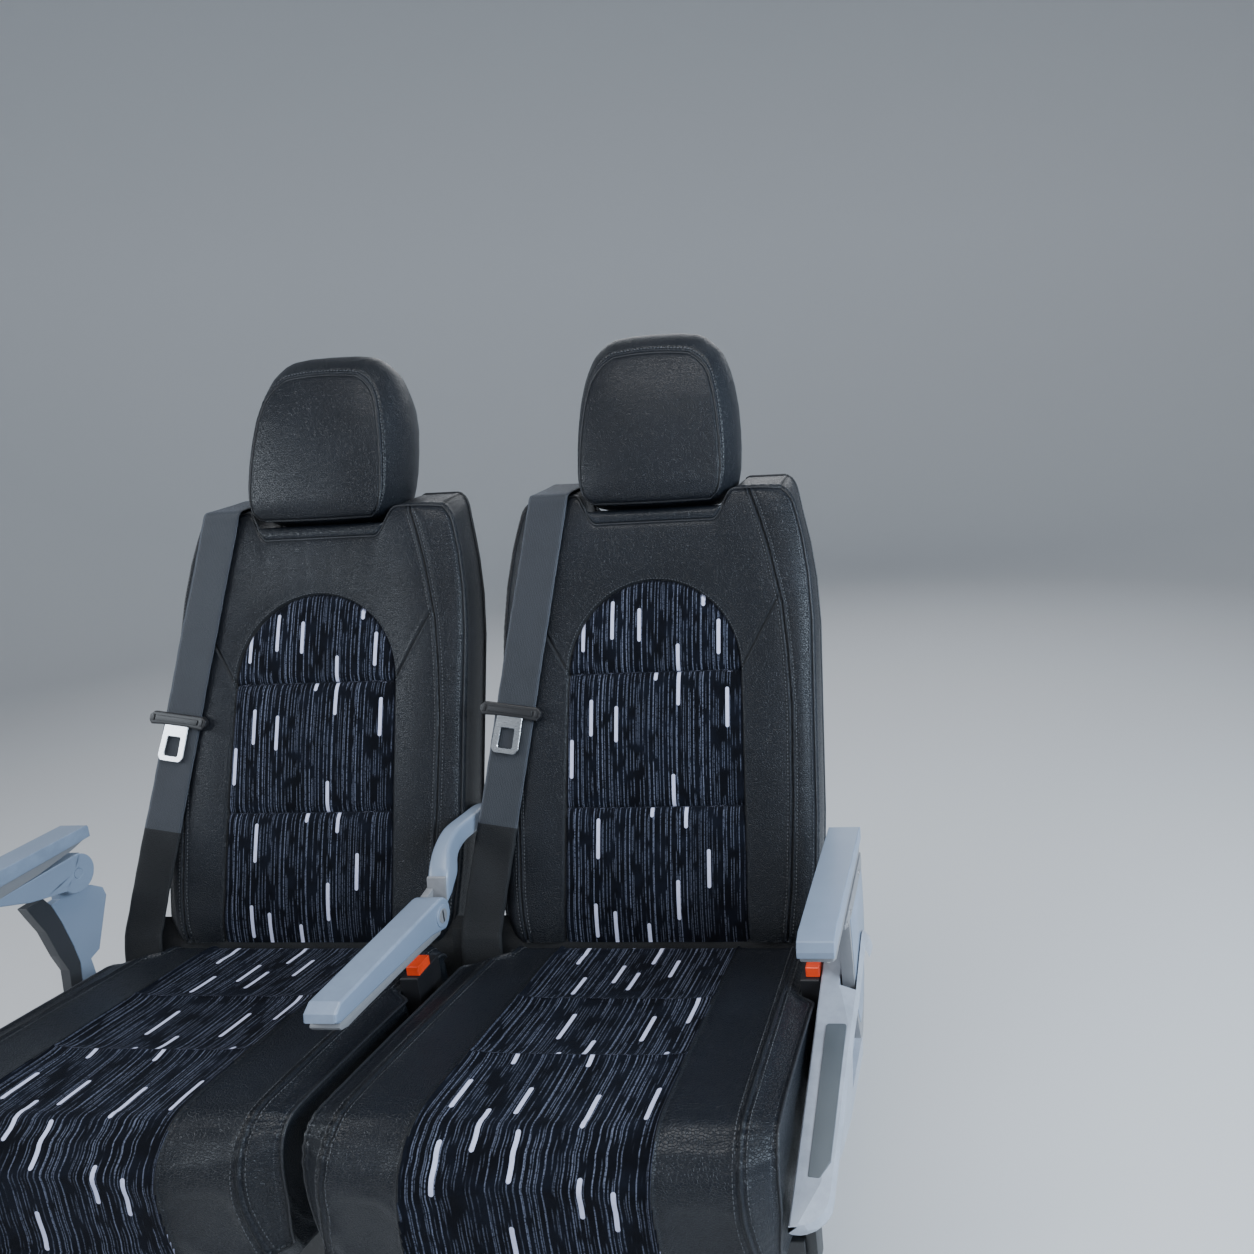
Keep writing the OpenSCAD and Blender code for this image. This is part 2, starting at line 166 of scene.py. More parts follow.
class Mat:
    def __init__(self, name, base, rough=0.5, metallic=0.0, spec=0.5, sheen=0.0, coat=0.0, coat_rough=0.2, sheen_rough=0.4, sheen_tint=(1, 1, 1)):
        self.m = bpy.data.materials.new(name)
        self.m.use_nodes = True
        self.nt = self.m.node_tree
        self.b = self.nt.nodes["Principled BSDF"]
        self.b.inputs["Base Color"].default_value = (*base, 1)
        self.b.inputs["Roughness"].default_value = rough
        self.b.inputs["Metallic"].default_value = metallic
        self.b.inputs["Specular IOR Level"].default_value = spec
        self.b.inputs["Sheen Weight"].default_value = sheen
        self.b.inputs["Sheen Roughness"].default_value = sheen_rough
        self.b.inputs["Sheen Tint"].default_value = (*sheen_tint, 1)
        self.b.inputs["Coat Weight"].default_value = coat
        self.b.inputs["Coat Roughness"].default_value = coat_rough
        self.m.diffuse_color = (*base, 1)
        self.base = base
        self._co = None

    def co(self):
        if self._co is None:
            self._co = self.nt.nodes.new("ShaderNodeTexCoord").outputs["Object"]
        return self._co

    def attr(self, name):
        n = self.nt.nodes.new("ShaderNodeAttribute")
        n.attribute_type = "GEOMETRY"
        n.attribute_name = name
        return Ex(self.nt, n.outputs["Fac"])

    def vec(self, x, y, z=0.0):
        n = self.nt.nodes.new("ShaderNodeCombineXYZ")
        for i, v in enumerate((x, y, z)):
            if isinstance(v, Ex):
                self.nt.links.new(v.sock, n.inputs[i])
            else:
                n.inputs[i].default_value = v
        return n.outputs[0]

    def scaled(self, sx, sy, sz, source=None):
        n = self.nt.nodes.new("ShaderNodeMapping")
        n.inputs["Scale"].default_value = (sx, sy, sz)
        self.nt.links.new(source or self.co(), n.inputs["Vector"])
        return n.outputs[0]

    def noise(self, scale, detail=2.0, rough=0.5, vector=None, distortion=0.0, dims="3D"):
        n = self.nt.nodes.new("ShaderNodeTexNoise")
        n.noise_dimensions = dims
        n.inputs["Scale"].default_value = scale
        n.inputs["Detail"].default_value = detail
        n.inputs["Roughness"].default_value = rough
        n.inputs["Distortion"].default_value = distortion
        self.nt.links.new(vector or self.co(), n.inputs["Vector"])
        return Ex(self.nt, n.outputs["Fac"])

    def voronoi(self, scale, feature="F1", vector=None, randomness=1.0, smooth=None):
        n = self.nt.nodes.new("ShaderNodeTexVoronoi")
        n.feature = feature
        n.inputs["Scale"].default_value = scale
        n.inputs["Randomness"].default_value = randomness
        if smooth is not None:
            n.inputs["Smoothness"].default_value = smooth
        self.nt.links.new(vector or self.co(), n.inputs["Vector"])
        return Ex(self.nt, n.outputs["Distance"])

    def white(self, *xs):
        n = self.nt.nodes.new("ShaderNodeTexWhiteNoise")
        n.noise_dimensions = "3D"
        self.nt.links.new(self.vec(*(list(xs) + [0.0] * (3 - len(xs)))), n.inputs["Vector"])
        return Ex(self.nt, n.outputs["Value"])

    def mix(self, fac, a, b):
        n = self.nt.nodes.new("ShaderNodeMix")
        n.data_type = "RGBA"
        n.clamp_factor = True
        self.nt.links.new(fac.sock, n.inputs[0])
        for i, v in ((6, a), (7, b)):
            if isinstance(v, tuple):
                n.inputs[i].default_value = (*v, 1)
            else:
                self.nt.links.new(v, n.inputs[i])
        return n.outputs[2]

    def color(self, sock):
        self.nt.links.new(sock, self.b.inputs["Base Color"])

    def rough(self, ex):
        self.nt.links.new(ex.sock, self.b.inputs["Roughness"])

    def bump(self, ex, distance, strength=1.0):
        """height ex (0 to 1) times distance in metres; several calls add up"""
        n = self.nt.nodes.new("ShaderNodeBump")
        n.inputs["Strength"].default_value = strength
        n.inputs["Distance"].default_value = distance
        self.nt.links.new(ex.sock, n.inputs["Height"])
        slot = self.b.inputs["Normal"]
        if slot.is_linked:
            self.nt.links.new(slot.links[0].from_socket, n.inputs["Normal"])
        self.nt.links.new(n.outputs[0], slot)
        self.nt.links.new(n.outputs[0], self.b.inputs["Coat Normal"])


def tint(c, k):
    return tuple(x * k for x in c)


def leather(name, base, rough=0.42, grain=1.0, painted_seam_shade=True):
    m = Mat(name, base, rough, spec=0.33, sheen=0.0, sheen_rough=0.35, sheen_tint=(0.75, 0.85, 1.0))
    v = m.scaled(1.0, 1.0, 1.75, m.co())
    crack = m.voronoi(300, "DISTANCE_TO_EDGE", v).step(0.0, 0.16)
    fine = m.noise(2100, 1.0, 0.6)
    broad = m.noise(9, 3.0, 0.55)
    patch = m.noise(42, 3.0, 0.6)
    col = m.mix(broad.step(0.3, 0.72), tint(base, 0.86), tint(base, 1.16))
    col = m.mix(crack._op("MULTIPLY", 0.22) + 0.78, tint(base, 0.55), col)
    rgh = (patch - 0.5) * 0.06 + (1.0 - crack) * 0.14 + rough
    if painted_seam_shade:
        c = m.attr("painted_seam_shade")
        painted_seam_highlight = m.attr("painted_seam_highlight")
        # painted shade: colour darkened along the seam grooves and the edge seams
        col = m.mix(c * 0.85, col, tint(base, 0.22))
        # painted highlight: colour lightened on the seam ridges and beside the piping, with slightly lower roughness
        # there
        col = m.mix(painted_seam_highlight * 0.35, col, tint(base, 2.1))
        rgh = rgh + c * 0.25 - painted_seam_highlight * 0.05
    m.color(col)
    m.rough(rgh._op("MINIMUM", 0.9))
    m.bump(crack, 0.00028 * grain)
    m.bump(fine, 0.00007 * grain)
    return m.m


def seat_fabric(name):
    """Plush with broken grey-blue stripes and scattered pale dashes, in a layout of its own."""
    m = Mat(name, (0.004, 0.005, 0.009), 0.85, spec=0.10, sheen=0.02, sheen_rough=0.4, sheen_tint=(0.5, 0.6, 0.85))
    u0, v0, sec, c = m.attr("fu"), m.attr("fv"), m.attr("fs"), m.attr("painted_seam_shade")
    u = u0 + sec * 31.7
    v = v0 + sec * 517.3
    sway = m.noise(0.012, 1.0, 0.5, m.vec(u * 0.4, v, sec * 9.1))
    total = None
    for k, (pitch, half, gain, low) in enumerate(((6.7, 0.60, 1.0, 0.34), (6.7, 0.42, 0.75, 0.44))):
        uu = (u + (sway - 0.5) * 3.0 + k * 3.4) / pitch
        col = uu.floor()
        r1 = m.white(col, 3.0 + k, 1.0)
        r2 = m.white(col, 7.0 + k, 2.0)
        d = ((uu.fract() - (r1 * 0.5 + 0.25)) * pitch).abs()
        long = m.noise(0.03, 1.0, 0.5, m.vec(col * 413.7, v, 4.0 * k))
        yarn = m.noise(0.55, 2.0, 0.7, m.vec(u * 0.6, v, 8.0 + k))
        here = (long + (r2 - 0.5) * 0.16).step(low, low + 0.12)
        beads = yarn.step(0.36, 0.54) * 0.82 + 0.18
        line = d.step(half + 0.20, half - 0.14) * here * beads * (r2 * 0.65 + 0.35) * gain
        total = line if total is None else total.max(line)
    # pale dashes: one to a cell, each at its own place in it
    cw, cl = 37.0, 98.0
    cu = u / cw
    ci = cu.floor()
    cv = v / cl + m.white(ci, 5.0) * 3.0
    cj = cv.floor()
    pu, pv = (cu.fract() - (m.white(ci, cj, 1.0) * 0.66 + 0.17)) * cw, (cv.fract() - 0.5 - (m.white(ci, cj, 2.0) - 0.5) * 0.46) * cl
    hl = m.white(ci, cj, 3.0) * 6.0 + 17.5
    over = (pv.abs() - hl).max(0.0)
    dash = (pu * pu + over * over).sqrt().step(2.7, 2.0) * m.white(ci, cj, 4.0).over(0.28)
    glint = m.noise(0.9, 2.0, 0.6, m.vec(u, v * 0.35, 2.0))
    pile = m.noise(1.6, 2.0, 0.65, m.vec(u, v, 1.0))
    shade = m.noise(0.035, 2.0, 0.6, m.vec(u, v, 6.0))
    col = m.mix(shade.step(0.35, 0.7), (0.0022, 0.0028, 0.0052), (0.0045, 0.0060, 0.0115))
    col = m.mix(total, col, (0.125, 0.142, 0.205))
    col = m.mix(dash, col, (0.60, 0.63, 0.86))
    col = m.mix((dash * (1.0 - glint.step(0.3, 0.6))) * 0.35, col, (0.40, 0.44, 0.66))
    # painted shade: the fabric darkened in its seams, which hides the stripes there
    col = m.mix(c * 0.8, col, (0.004, 0.005, 0.009))
    m.color(col)
    m.rough(0.9 - dash * 0.3 - total * 0.15)
    m.bump(pile, 0.0005)
    return m.m


def plastic(name, base, rough=0.36, spec=0.5, grain=0.00006, coat=0.0, mottling=0.06, metallic=0.0):
    m = Mat(name, base, rough, spec=spec, coat=coat, coat_rough=0.25, metallic=metallic)
    broad = m.noise(6.5, 3.0, 0.6)
    fine = m.noise(1500, 2.0, 0.6)
    highlight_and_rough_noise = m.noise(38, 4.0, 0.7)
    col = m.mix(broad.step(0.3, 0.7), tint(base, 1 - mottling), tint(base, 1 + mottling))
    geo = m.nt.nodes.new("ShaderNodeNewGeometry")
    edge = Ex(m.nt, geo.outputs["Pointiness"]).step(0.515, 0.56)
    # painted highlight: convex edges lightened in patches
    col = m.mix(edge * highlight_and_rough_noise.step(0.35, 0.65) * 0.45, col, tint(base, 1.35))
    m.color(col)
    m.rough((highlight_and_rough_noise - 0.5) * 0.10 + (fine - 0.5) * 0.05 + rough)
    m.bump(fine, grain)
    m.bump(m.noise(14, 2.0), 0.00025)
    return m.m


def metal_paint(name, base, rough=0.5):
    m = Mat(name, base, rough, spec=0.5)
    peel = m.noise(520, 2.0, 0.55)
    broad = m.noise(7, 3.0, 0.6)
    geo = m.nt.nodes.new("ShaderNodeNewGeometry")
    edge = Ex(m.nt, geo.outputs["Pointiness"]).step(0.51, 0.57)
    chips = m.noise(160, 3.0, 0.7).step(0.56, 0.64)
    col = m.mix(broad.step(0.3, 0.7), tint(base, 0.85), tint(base, 1.15))
    col = m.mix(edge * chips * 0.14, col, (0.16, 0.16, 0.17))
    m.color(col)
    m.rough((broad - 0.5) * 0.2 + rough)
    m.bump(peel, 0.00014)
    return m.m


def steel(name, base, rough=0.28, along=(1, 1, 30)):
    m = Mat(name, base, rough, metallic=1.0)
    brushed = m.noise(90, 3.0, 0.7, m.scaled(*along))
    m.color(m.mix(brushed, tint(base, 0.8), tint(base, 1.1)))
    m.rough((brushed - 0.5) * 0.2 + rough)
    m.bump(brushed, 0.00004)
    return m.m


def webbing(name, base):
    m = Mat(name, base, 0.62, spec=0.4, sheen=0.25, sheen_rough=0.35, sheen_tint=(0.7, 0.8, 1.0))
    u, v = m.attr("fu"), m.attr("fv")
    rib = (u * (math.pi / 2.3)).sin().abs()
    zig = ((v + ((u / 2.3).fract() - 0.5).abs() * 2.4) * (math.pi / 0.95)).sin().abs()
    edge = u.abs().step(22.6, 24.6)
    dirt = m.noise(30, 3.0, 0.6)
    h = rib * 0.6 + zig * 0.4
    col = m.mix(h, tint(base, 0.35), tint(base, 1.35))
    col = m.mix(edge * 0.45, col, tint(base, 1.9))
    col = m.mix(dirt.step(0.45, 0.75) * 0.3, col, tint(base, 0.6))
    m.color(col)
    m.bump(h, 0.00045)
    return m.m


LEATHER = leather("leather_charcoal", (0.0070, 0.0090, 0.0135), rough=0.33, grain=1.25)
LEATHER_SIDE = leather("leather_gusset", (0.0080, 0.0104, 0.0150), rough=0.30, grain=1.1)
THREAD = leather("seam_thread", (0.078, 0.084, 0.095), rough=0.5, painted_seam_shade=False)
PIPING = leather("seam_piping", (0.022, 0.024, 0.029), rough=0.32, grain=0.6, painted_seam_shade=False)
FABRIC = seat_fabric("plush_stripes")
ARM = plastic("armrest_satin", (0.190, 0.240, 0.325), 0.33)
ARM_LOW = plastic("armrest_lower", (0.185, 0.190, 0.205), 0.42)
PANEL = plastic("panel_satin", (0.30, 0.33, 0.39), 0.36)
INSERT = plastic("insert_grey", (0.085, 0.100, 0.115), 0.45, grain=0.0002, mottling=0.14)
BLACK = plastic("black_plastic", (0.012, 0.012, 0.014), 0.42)
SHELL = plastic("shell_moulded", (0.022, 0.024, 0.028), 0.5, grain=0.0003, mottling=0.12)
DARK = plastic("trim_dark", (0.030, 0.032, 0.037), 0.45)
RED = plastic("button_orange_red", (0.78, 0.055, 0.012), 0.33, coat=0.2, mottling=0.04)
PAINT = metal_paint("frame_paint", (0.016, 0.017, 0.019))
STEEL = steel("tongue_steel", (0.60, 0.61, 0.63), 0.27)
POST = steel("post_steel", (0.42, 0.43, 0.45), 0.2)
SCREW = steel("screw_steel", (0.55, 0.55, 0.56), 0.3)
WEB = webbing("belt_webbing", (0.026, 0.030, 0.038))
VINYL = leather("pocket_vinyl", (0.020, 0.021, 0.024), rough=0.5, grain=0.8, painted_seam_shade=False)

# ---------------------------------------------------------------- soft forms
FINE = 6  # fine grid steps to one coarse cell


def smooth(x, a, b):
    t = np.clip((np.asarray(x, float) - a) / (b - a), 0, 1)
    return t * t * (3 - 2 * t)


def gauss(d, w):
    return np.exp(-((d / w) ** 2))


def cubic(n, f=FINE):
    """Matrix that interpolates n samples to (n - 1) * f + 1, with Catmull-Rom weights."""
    m = (n - 1) * f + 1
    out = np.zeros((m, n))
    for k in range(m):
        i = min(k // f, n - 2)
        t = k / f - i
        w = (-0.5 * t + t**2 - 0.5 * t**3, 1 - 2.5 * t**2 + 1.5 * t**3, 0.5 * t + 2 * t**2 - 1.5 * t**3, -0.5 * t**2 + 0.5 * t**3)
        for q, wq in zip((i - 1, i, i + 1, i + 2), w):
            if q < 0:
                out[k, 0] += 2 * wq
                out[k, 1] -= wq
            elif q > n - 1:
                out[k, n - 1] += 2 * wq
                out[k, n - 2] -= wq
            else:
                out[k, q] += wq
    return out


def up2(a):
    """Interpolates a grid of points both ways."""
    rows = np.tensordot(cubic(a.shape[0]), a, axes=(1, 0))
    return np.tensordot(rows, cubic(a.shape[1]), axes=(1, 1)).transpose(0, 2, 1)


def loop_ij(nx, ny):
    """Rows and columns of the patch's boundary, anticlockwise from the lower left corner."""
    j = np.concatenate([np.zeros(nx, int), np.arange(ny), np.full(nx, ny), np.arange(ny, 0, -1)])
    i = np.concatenate([np.arange(nx), np.full(ny, nx), np.arange(nx, 0, -1), np.zeros(ny, int)])
    return j, i


def poly_dist(x, y, line, closed=False):
    """Distance of points to a polyline."""
    pts = list(line) + ([line[0]] if closed else [])
    best = np.full(np.shape(x), 1e9)
    for (ax, ay), (bx, by) in zip(pts[:-1], pts[1:]):
        dx, dy = bx - ax, by - ay
        t = np.clip(((x - ax) * dx + (y - ay) * dy) / (dx * dx + dy * dy + 1e-12), 0, 1)
        best = np.minimum(best, np.hypot(x - ax - t * dx, y - ay - t * dy))
    return best


def normals(p, sign=1.0):
    du = np.gradient(p, axis=1)
    dv = np.gradient(p, axis=0)
    n = np.cross(du, dv) * sign
    return n / np.maximum(np.linalg.norm(n, axis=2, keepdims=True), 1e-9)


def blow(name, verts, faces, pin, pressure, frames=20, bend=0.5, tension=15.0):
    """Inflates a closed mesh (mm) with Blender's cloth, holding the pinned points, and returns how far each point moved."""
    me = bpy.data.meshes.new(name)
    me.from_pydata((verts * 0.001).tolist(), [], faces)
    ob = bpy.data.objects.new(name, me)
    SCENE.collection.objects.link(ob)
    g = ob.vertex_groups.new(name="pin")
    for w in sorted(set(np.round(pin, 2))):
        if w > 0:
            g.add(np.nonzero(np.isclose(pin, w, atol=0.006))[0].tolist(), float(w), "ADD")
    mod = ob.modifiers.new("cloth", "CLOTH")
    st = mod.settings
    st.quality = 3
    st.mass = 0.3
    st.tension_stiffness = st.compression_stiffness = tension
    st.shear_stiffness = tension * 0.5
    st.bending_stiffness = bend
    st.tension_damping = st.compression_damping = 8
    st.air_damping = 2
    st.use_pressure = True
    st.uniform_pressure_force = pressure
    st.vertex_group_mass = "pin"
    st.effector_weights.gravity = 0
    mod.collision_settings.use_collision = False
    mod.collision_settings.use_self_collision = False
    mod.point_cache.frame_start, mod.point_cache.frame_end = 1, frames
    SCENE.frame_start, SCENE.frame_end = 1, frames
    for f in range(1, frames + 1):
        SCENE.frame_set(f)
    dg = bpy.context.evaluated_depsgraph_get()
    ev = ob.evaluated_get(dg).to_mesh()
    co = np.zeros(len(ev.vertices) * 3)
    ev.vertices.foreach_get("co", co)
    ob.evaluated_get(dg).to_mesh_clear()
    moved = co.reshape(-1, 3) * 1000 - verts
    bpy.data.objects.remove(ob)
    bpy.data.meshes.remove(me)
    SCENE.frame_set(1)
    return np.nan_to_num(moved)


def soft_cap(d, cap):
    n = np.linalg.norm(d, axis=-1, keepdims=True)
    return d * (cap * np.tanh(n / cap) / np.maximum(n, 1e-9))


class Drum:
    """A padded form: a front patch, a rear patch with the same outline topology, and a band between their edges.

    front(U, V) and rear(U, V) give points; band(F, R, U, V, s) gives the point at share s from front edge to rear edge.
    """

    def __init__(self, name, nx, ny, ns, front, rear, band, param, to_uv, near, cap=5.0, pressure=4.0, pins=None, band_near=None):
        self.name, self.nx, self.ny, self.ns = name, nx, ny, ns
        self.param, self.to_uv, self.near, self.band_near = param, to_uv, near, band_near
        U, V = np.meshgrid(np.linspace(-1, 1, nx + 1), np.linspace(0, 1, ny + 1))
        F, R = front(U, V), rear(U, V)
        lj, li = loop_ij(nx, ny)
        B = np.stack([band(F[lj, li], R[lj, li], U[lj, li], V[lj, li], k / ns) for k in range(ns + 1)], axis=1)
        B[:, 0], B[:, ns] = F[lj, li], R[lj, li]
        DF, DB, DR = np.zeros_like(F), np.zeros_like(B), np.zeros_like(R)
        nf = F.shape[0] * F.shape[1]
        idF = np.arange(nf).reshape(F.shape[:2])
        idR = idF + nf
        idB = np.zeros(B.shape[:2], int)
        idB[:, 0], idB[:, ns] = idF[lj, li], idR[lj, li]
        idB[:, 1:ns] = 2 * nf + np.arange(len(lj) * (ns - 1)).reshape(len(lj), ns - 1)
        verts = np.concatenate([F.reshape(-1, 3), R.reshape(-1, 3), B[:, 1:ns].reshape(-1, 3)])
        faces = []
        for j in range(ny):
            for i in range(nx):
                faces.append((idF[j, i], idF[j, i + 1], idF[j + 1, i + 1], idF[j + 1, i]))
                faces.append((idR[j, i], idR[j + 1, i], idR[j + 1, i + 1], idR[j, i + 1]))
        nl = len(lj)
        for b in range(nl):
            c = (b + 1) % nl
            for k in range(ns):
                faces.append((idB[b, k], idB[b, k + 1], idB[c, k + 1], idB[c, k]))
        faces = [tuple(int(x) for x in f) for f in faces]
        pin = np.zeros(len(verts))
        X, H = param(U, V)
        d = near(X, H)
        pf = np.where(d < 5.0, 1.0, 0.0)
        pf[0], pf[-1], pf[:, 0], pf[:, -1] = 1, 1, 1, 1
        pin[idF.ravel()] = pf.ravel()
        pin[idR.ravel()] = 1.0
        pin[idB[:, ns - 1].ravel()] = 1.0
        if pins is not None:
            pin = np.maximum(pin, pins(verts))
        moved = soft_cap(blow(name + "_sim", verts, faces, pin, pressure), cap)
        DF, DB = moved[idF], moved[idB]
        DB[:, ns] = 0
        # coarse shape with its inflation, then the fine grids
        Fc, Bc = F + DF, B + DB
        Bc[:, 0] = Fc[lj, li]
        self.PF, self.PR = up2(Fc), up2(R)
        sides, at = [], 0
        for n in (nx, ny, nx, ny):
            idx = [(at + q) % len(lj) for q in range(n + 1)]
            sides.append(up2(Bc[idx])[:-1])
            at += n
        self.PB = np.concatenate(sides)
        self.RN, self.CN, self.KN = ny * FINE, nx * FINE, ns * FINE
        self.lj, self.li = loop_ij(self.CN, self.RN)
        self.PB[:, 0] = self.PF[self.lj, self.li]
        self.PB[:, -1] = self.PR[self.lj, self.li]
        self.U, self.V = np.meshgrid(np.linspace(-1, 1, self.CN + 1), np.linspace(0, 1, self.RN + 1))
        self.X, self.H = param(self.U, self.V)
        self.NF = normals(self.PF)
        self.baseF = self.PF.copy()
        nb = np.cross(np.gradient(self.PB, axis=1), np.roll(self.PB, -1, 0) - np.roll(self.PB, 1, 0))
        self.NB = nb / np.maximum(np.linalg.norm(nb, axis=2, keepdims=True), 1e-9)
        # distance of each band point from the front edge, along the band
        seg = np.linalg.norm(np.diff(self.PB, axis=1), axis=2)
        self.SB = np.concatenate([np.zeros((len(self.PB), 1)), np.cumsum(seg, axis=1)], axis=1)
        self.LB = np.concatenate([[0], np.cumsum(np.linalg.norm(np.diff(self.PB[:, 0], axis=0), axis=1))])

    def displace(self, dF, dB=None):
        """Moves the fine points along their normals, in mm."""
        self.PF = self.PF + self.NF * dF[..., None]
        if dB is not None:
            self.PB = self.PB + self.NB * dB[..., None]
        self.PB[:, 0] = self.PF[self.lj, self.li]
        self.PB[:, -1] = self.PR[self.lj, self.li]

    def at(self, x, h):
        """Position and normal on the front patch at its own flat coordinates."""
        u, v = self.to_uv(np.asarray(x, float), np.asarray(h, float))
        c = np.clip((u + 1) / 2, 0, 1) * self.CN
        r = np.clip(v, 0, 1) * self.RN
        c0, r0 = np.minimum(c.astype(int), self.CN - 1), np.minimum(r.astype(int), self.RN - 1)
        fc, fr = (c - c0)[..., None], (r - r0)[..., None]

        def s(a):
            return (a[r0, c0] * (1 - fc) + a[r0, c0 + 1] * fc) * (1 - fr) + (a[r0 + 1, c0] * (1 - fc) + a[r0 + 1, c0 + 1] * fc) * fr

        n = s(self.NF)
        return s(self.PF), n / np.linalg.norm(n, axis=-1, keepdims=True)

    @staticmethod
    def _tree(d, t4, t2):
        """Cells of size 4, 2 and 1 that get finer near seams; d is the distance at each fine point."""

        def low(a, s):
            r, c = a.shape
            out = np.full(((r - 1) // s, (c - 1) // s), 1e9)
            for y in range(s + 1):
                for x in range(s + 1):
                    out = np.minimum(out, a[y : y + r - s : s, x : x + c - s : s][: out.shape[0], : out.shape[1]])
            return out

        m4, m2 = low(d, 4), low(d, 2)
        k4 = m4 >= t4
        par = np.repeat(np.repeat(k4, 2, 0), 2, 1)
        k2 = (~par) & (m2 >= t2)
        k1 = ~np.repeat(np.repeat(par | k2, 2, 0), 2, 1)
        cells = []
        for k, s in ((k4, 4), (k2, 2), (k1, 1)):
            r, c = np.nonzero(k)
            cells.append(np.stack([r * s, c * s, np.full(len(r), s)], 1))
        return np.concatenate(cells)

    def mesh(self, place, fabric=None, sections=None, painted_shadeF=None, painted_shadeB=None, painted_highlightF=None, painted_highlightB=None, front_mat=LEATHER, fabric_mat=FABRIC, side_mat=LEATHER_SIDE, dR=None):
        """The mesh of the form. place maps its own coordinates to the row frame in mm."""
        dF = np.minimum(self.near(self.X, self.H), 1e9)
        edge = np.full(dF.shape, 1e9)
        for a in (0, -1):
            edge[a, :] = 0
            edge[:, a] = 0
        dF = np.minimum(dF, np.where(edge == 0, 0, 1e9))
        cellsF = self._tree(dF, 7.0, 3.0)
        dB = np.minimum(self.SB, 1e9)
        if self.band_near is not None:
            dB = np.minimum(dB, self.band_near(self))
        dBp = np.concatenate([dB, dB[:1]])
        cellsB = self._tree(dBp, 7.0, 3.0)
        dRr = np.full(self.PR.shape[:2], 1e9)
        cellsR = self._tree(dRr, 7.0, 3.0)
        uF = np.zeros(self.PF.shape[:2], bool)
        uB = np.zeros((self.PB.shape[0] + 1, self.PB.shape[1]), bool)
        uR = np.zeros(self.PR.shape[:2], bool)
        for u, cells in ((uF, cellsF), (uB, cellsB), (uR, cellsR)):
            for dr in (0, 1):
                for dc in (0, 1):
                    u[cells[:, 0] + dr * cells[:, 2], cells[:, 1] + dc * cells[:, 2]] = True
        uB[0] |= uB[-1]
        uB[-1] = uB[0]
        lj, li = self.lj, self.li
        both = uF[lj, li] | uB[:-1, 0]
        uF[lj, li] = both
        uB[:-1, 0] = both
        both = uR[lj, li] | uB[:-1, -1]
        uR[lj, li] = both
        uB[:-1, -1] = both
        uB[-1] = uB[0]
        idF = np.full(uF.shape, -1)
        idF[uF] = np.arange(uF.sum())
        n = int(uF.sum())
        idR = np.full(uR.shape, -1)
        idR[uR] = n + np.arange(uR.sum())
        n += int(uR.sum())
        idB = np.full(uB.shape, -1)
        inner = uB.copy()
        inner[-1] = inner[:, 0] = inner[:, -1] = False
        idB[inner] = n + np.arange(inner.sum())
        idB[:-1, 0] = np.where(uB[:-1, 0], idF[lj, li], -1)
        idB[:-1, -1] = np.where(uB[:-1, -1], idR[lj, li], -1)
        idB[-1] = idB[0]
        co = np.concatenate([self.PF[uF], self.PR[uR], self.PB[inner[:-1]]])
        faces, mats = [], []

        def walk(ids, cells, flip, mat_of):
            used = ids >= 0
            for r, c, s in cells.tolist():
                if s == 1:
                    f = [ids[r, c], ids[r, c + 1], ids[r + 1, c + 1], ids[r + 1, c]]
                else:
                    f = [ids[r, c + q] for q in range(s) if used[r, c + q]]
                    f += [ids[r + q, c + s] for q in range(s) if used[r + q, c + s]]
                    f += [ids[r + s, c + s - q] for q in range(s) if used[r + s, c + s - q]]
                    f += [ids[r + s - q, c] for q in range(s) if used[r + s - q, c]]
                f = [int(x) for x in f]
                faces.append(f[::-1] if flip else f)
                mats.append(mat_of(r, c, s))

        isfab = None
        if fabric is not None:
            isfab = fabric(self.X, self.H)

        def front_of(r, c, s):
            if isfab is None:
                return 0
            h = s // 2
            return 1 if isfab[r + h, c + h] else 0

        walk(idF, cellsF, False, front_of)
        walk(idB, cellsB, True, lambda r, c, s: 2)
        walk(idR, cellsR, True, lambda r, c, s: 2)
        me = bpy.data.meshes.new(self.name)
        w = place(co) * 0.001
        me.from_pydata(w.tolist(), [], faces)
        me.polygons.foreach_set("material_index", mats)
        me.polygons.foreach_set("use_smooth", [True] * len(faces))
        for mt in (front_mat, fabric_mat, side_mat):
            me.materials.append(mt)
        zeroR, zeroB = np.zeros(uR.sum()), np.zeros(inner[:-1].sum())

        def put(key, f, b=None, r=None):
            vals = np.concatenate([f[uF], zeroR if r is None else r[uR], zeroB if b is None else b[inner[:-1]]])
            me.attributes.new(key, "FLOAT", "POINT").data.foreach_set("value", vals.astype(np.float32))

        put("fu", self.X)
        put("fv", self.H)
        put("fs", sections(self.X, self.H) if sections is not None else np.zeros_like(self.X))
        # per-point painted shade in the seams and painted highlight on the seam ridges, read by the leather and fabric
        # colours
        put("painted_seam_shade", painted_shadeF if painted_shadeF is not None else np.zeros_like(self.X), painted_shadeB)
        put("painted_seam_highlight", painted_highlightF if painted_highlightF is not None else np.zeros_like(self.X), painted_highlightB)
        me.validate()
        me.update()
        return me


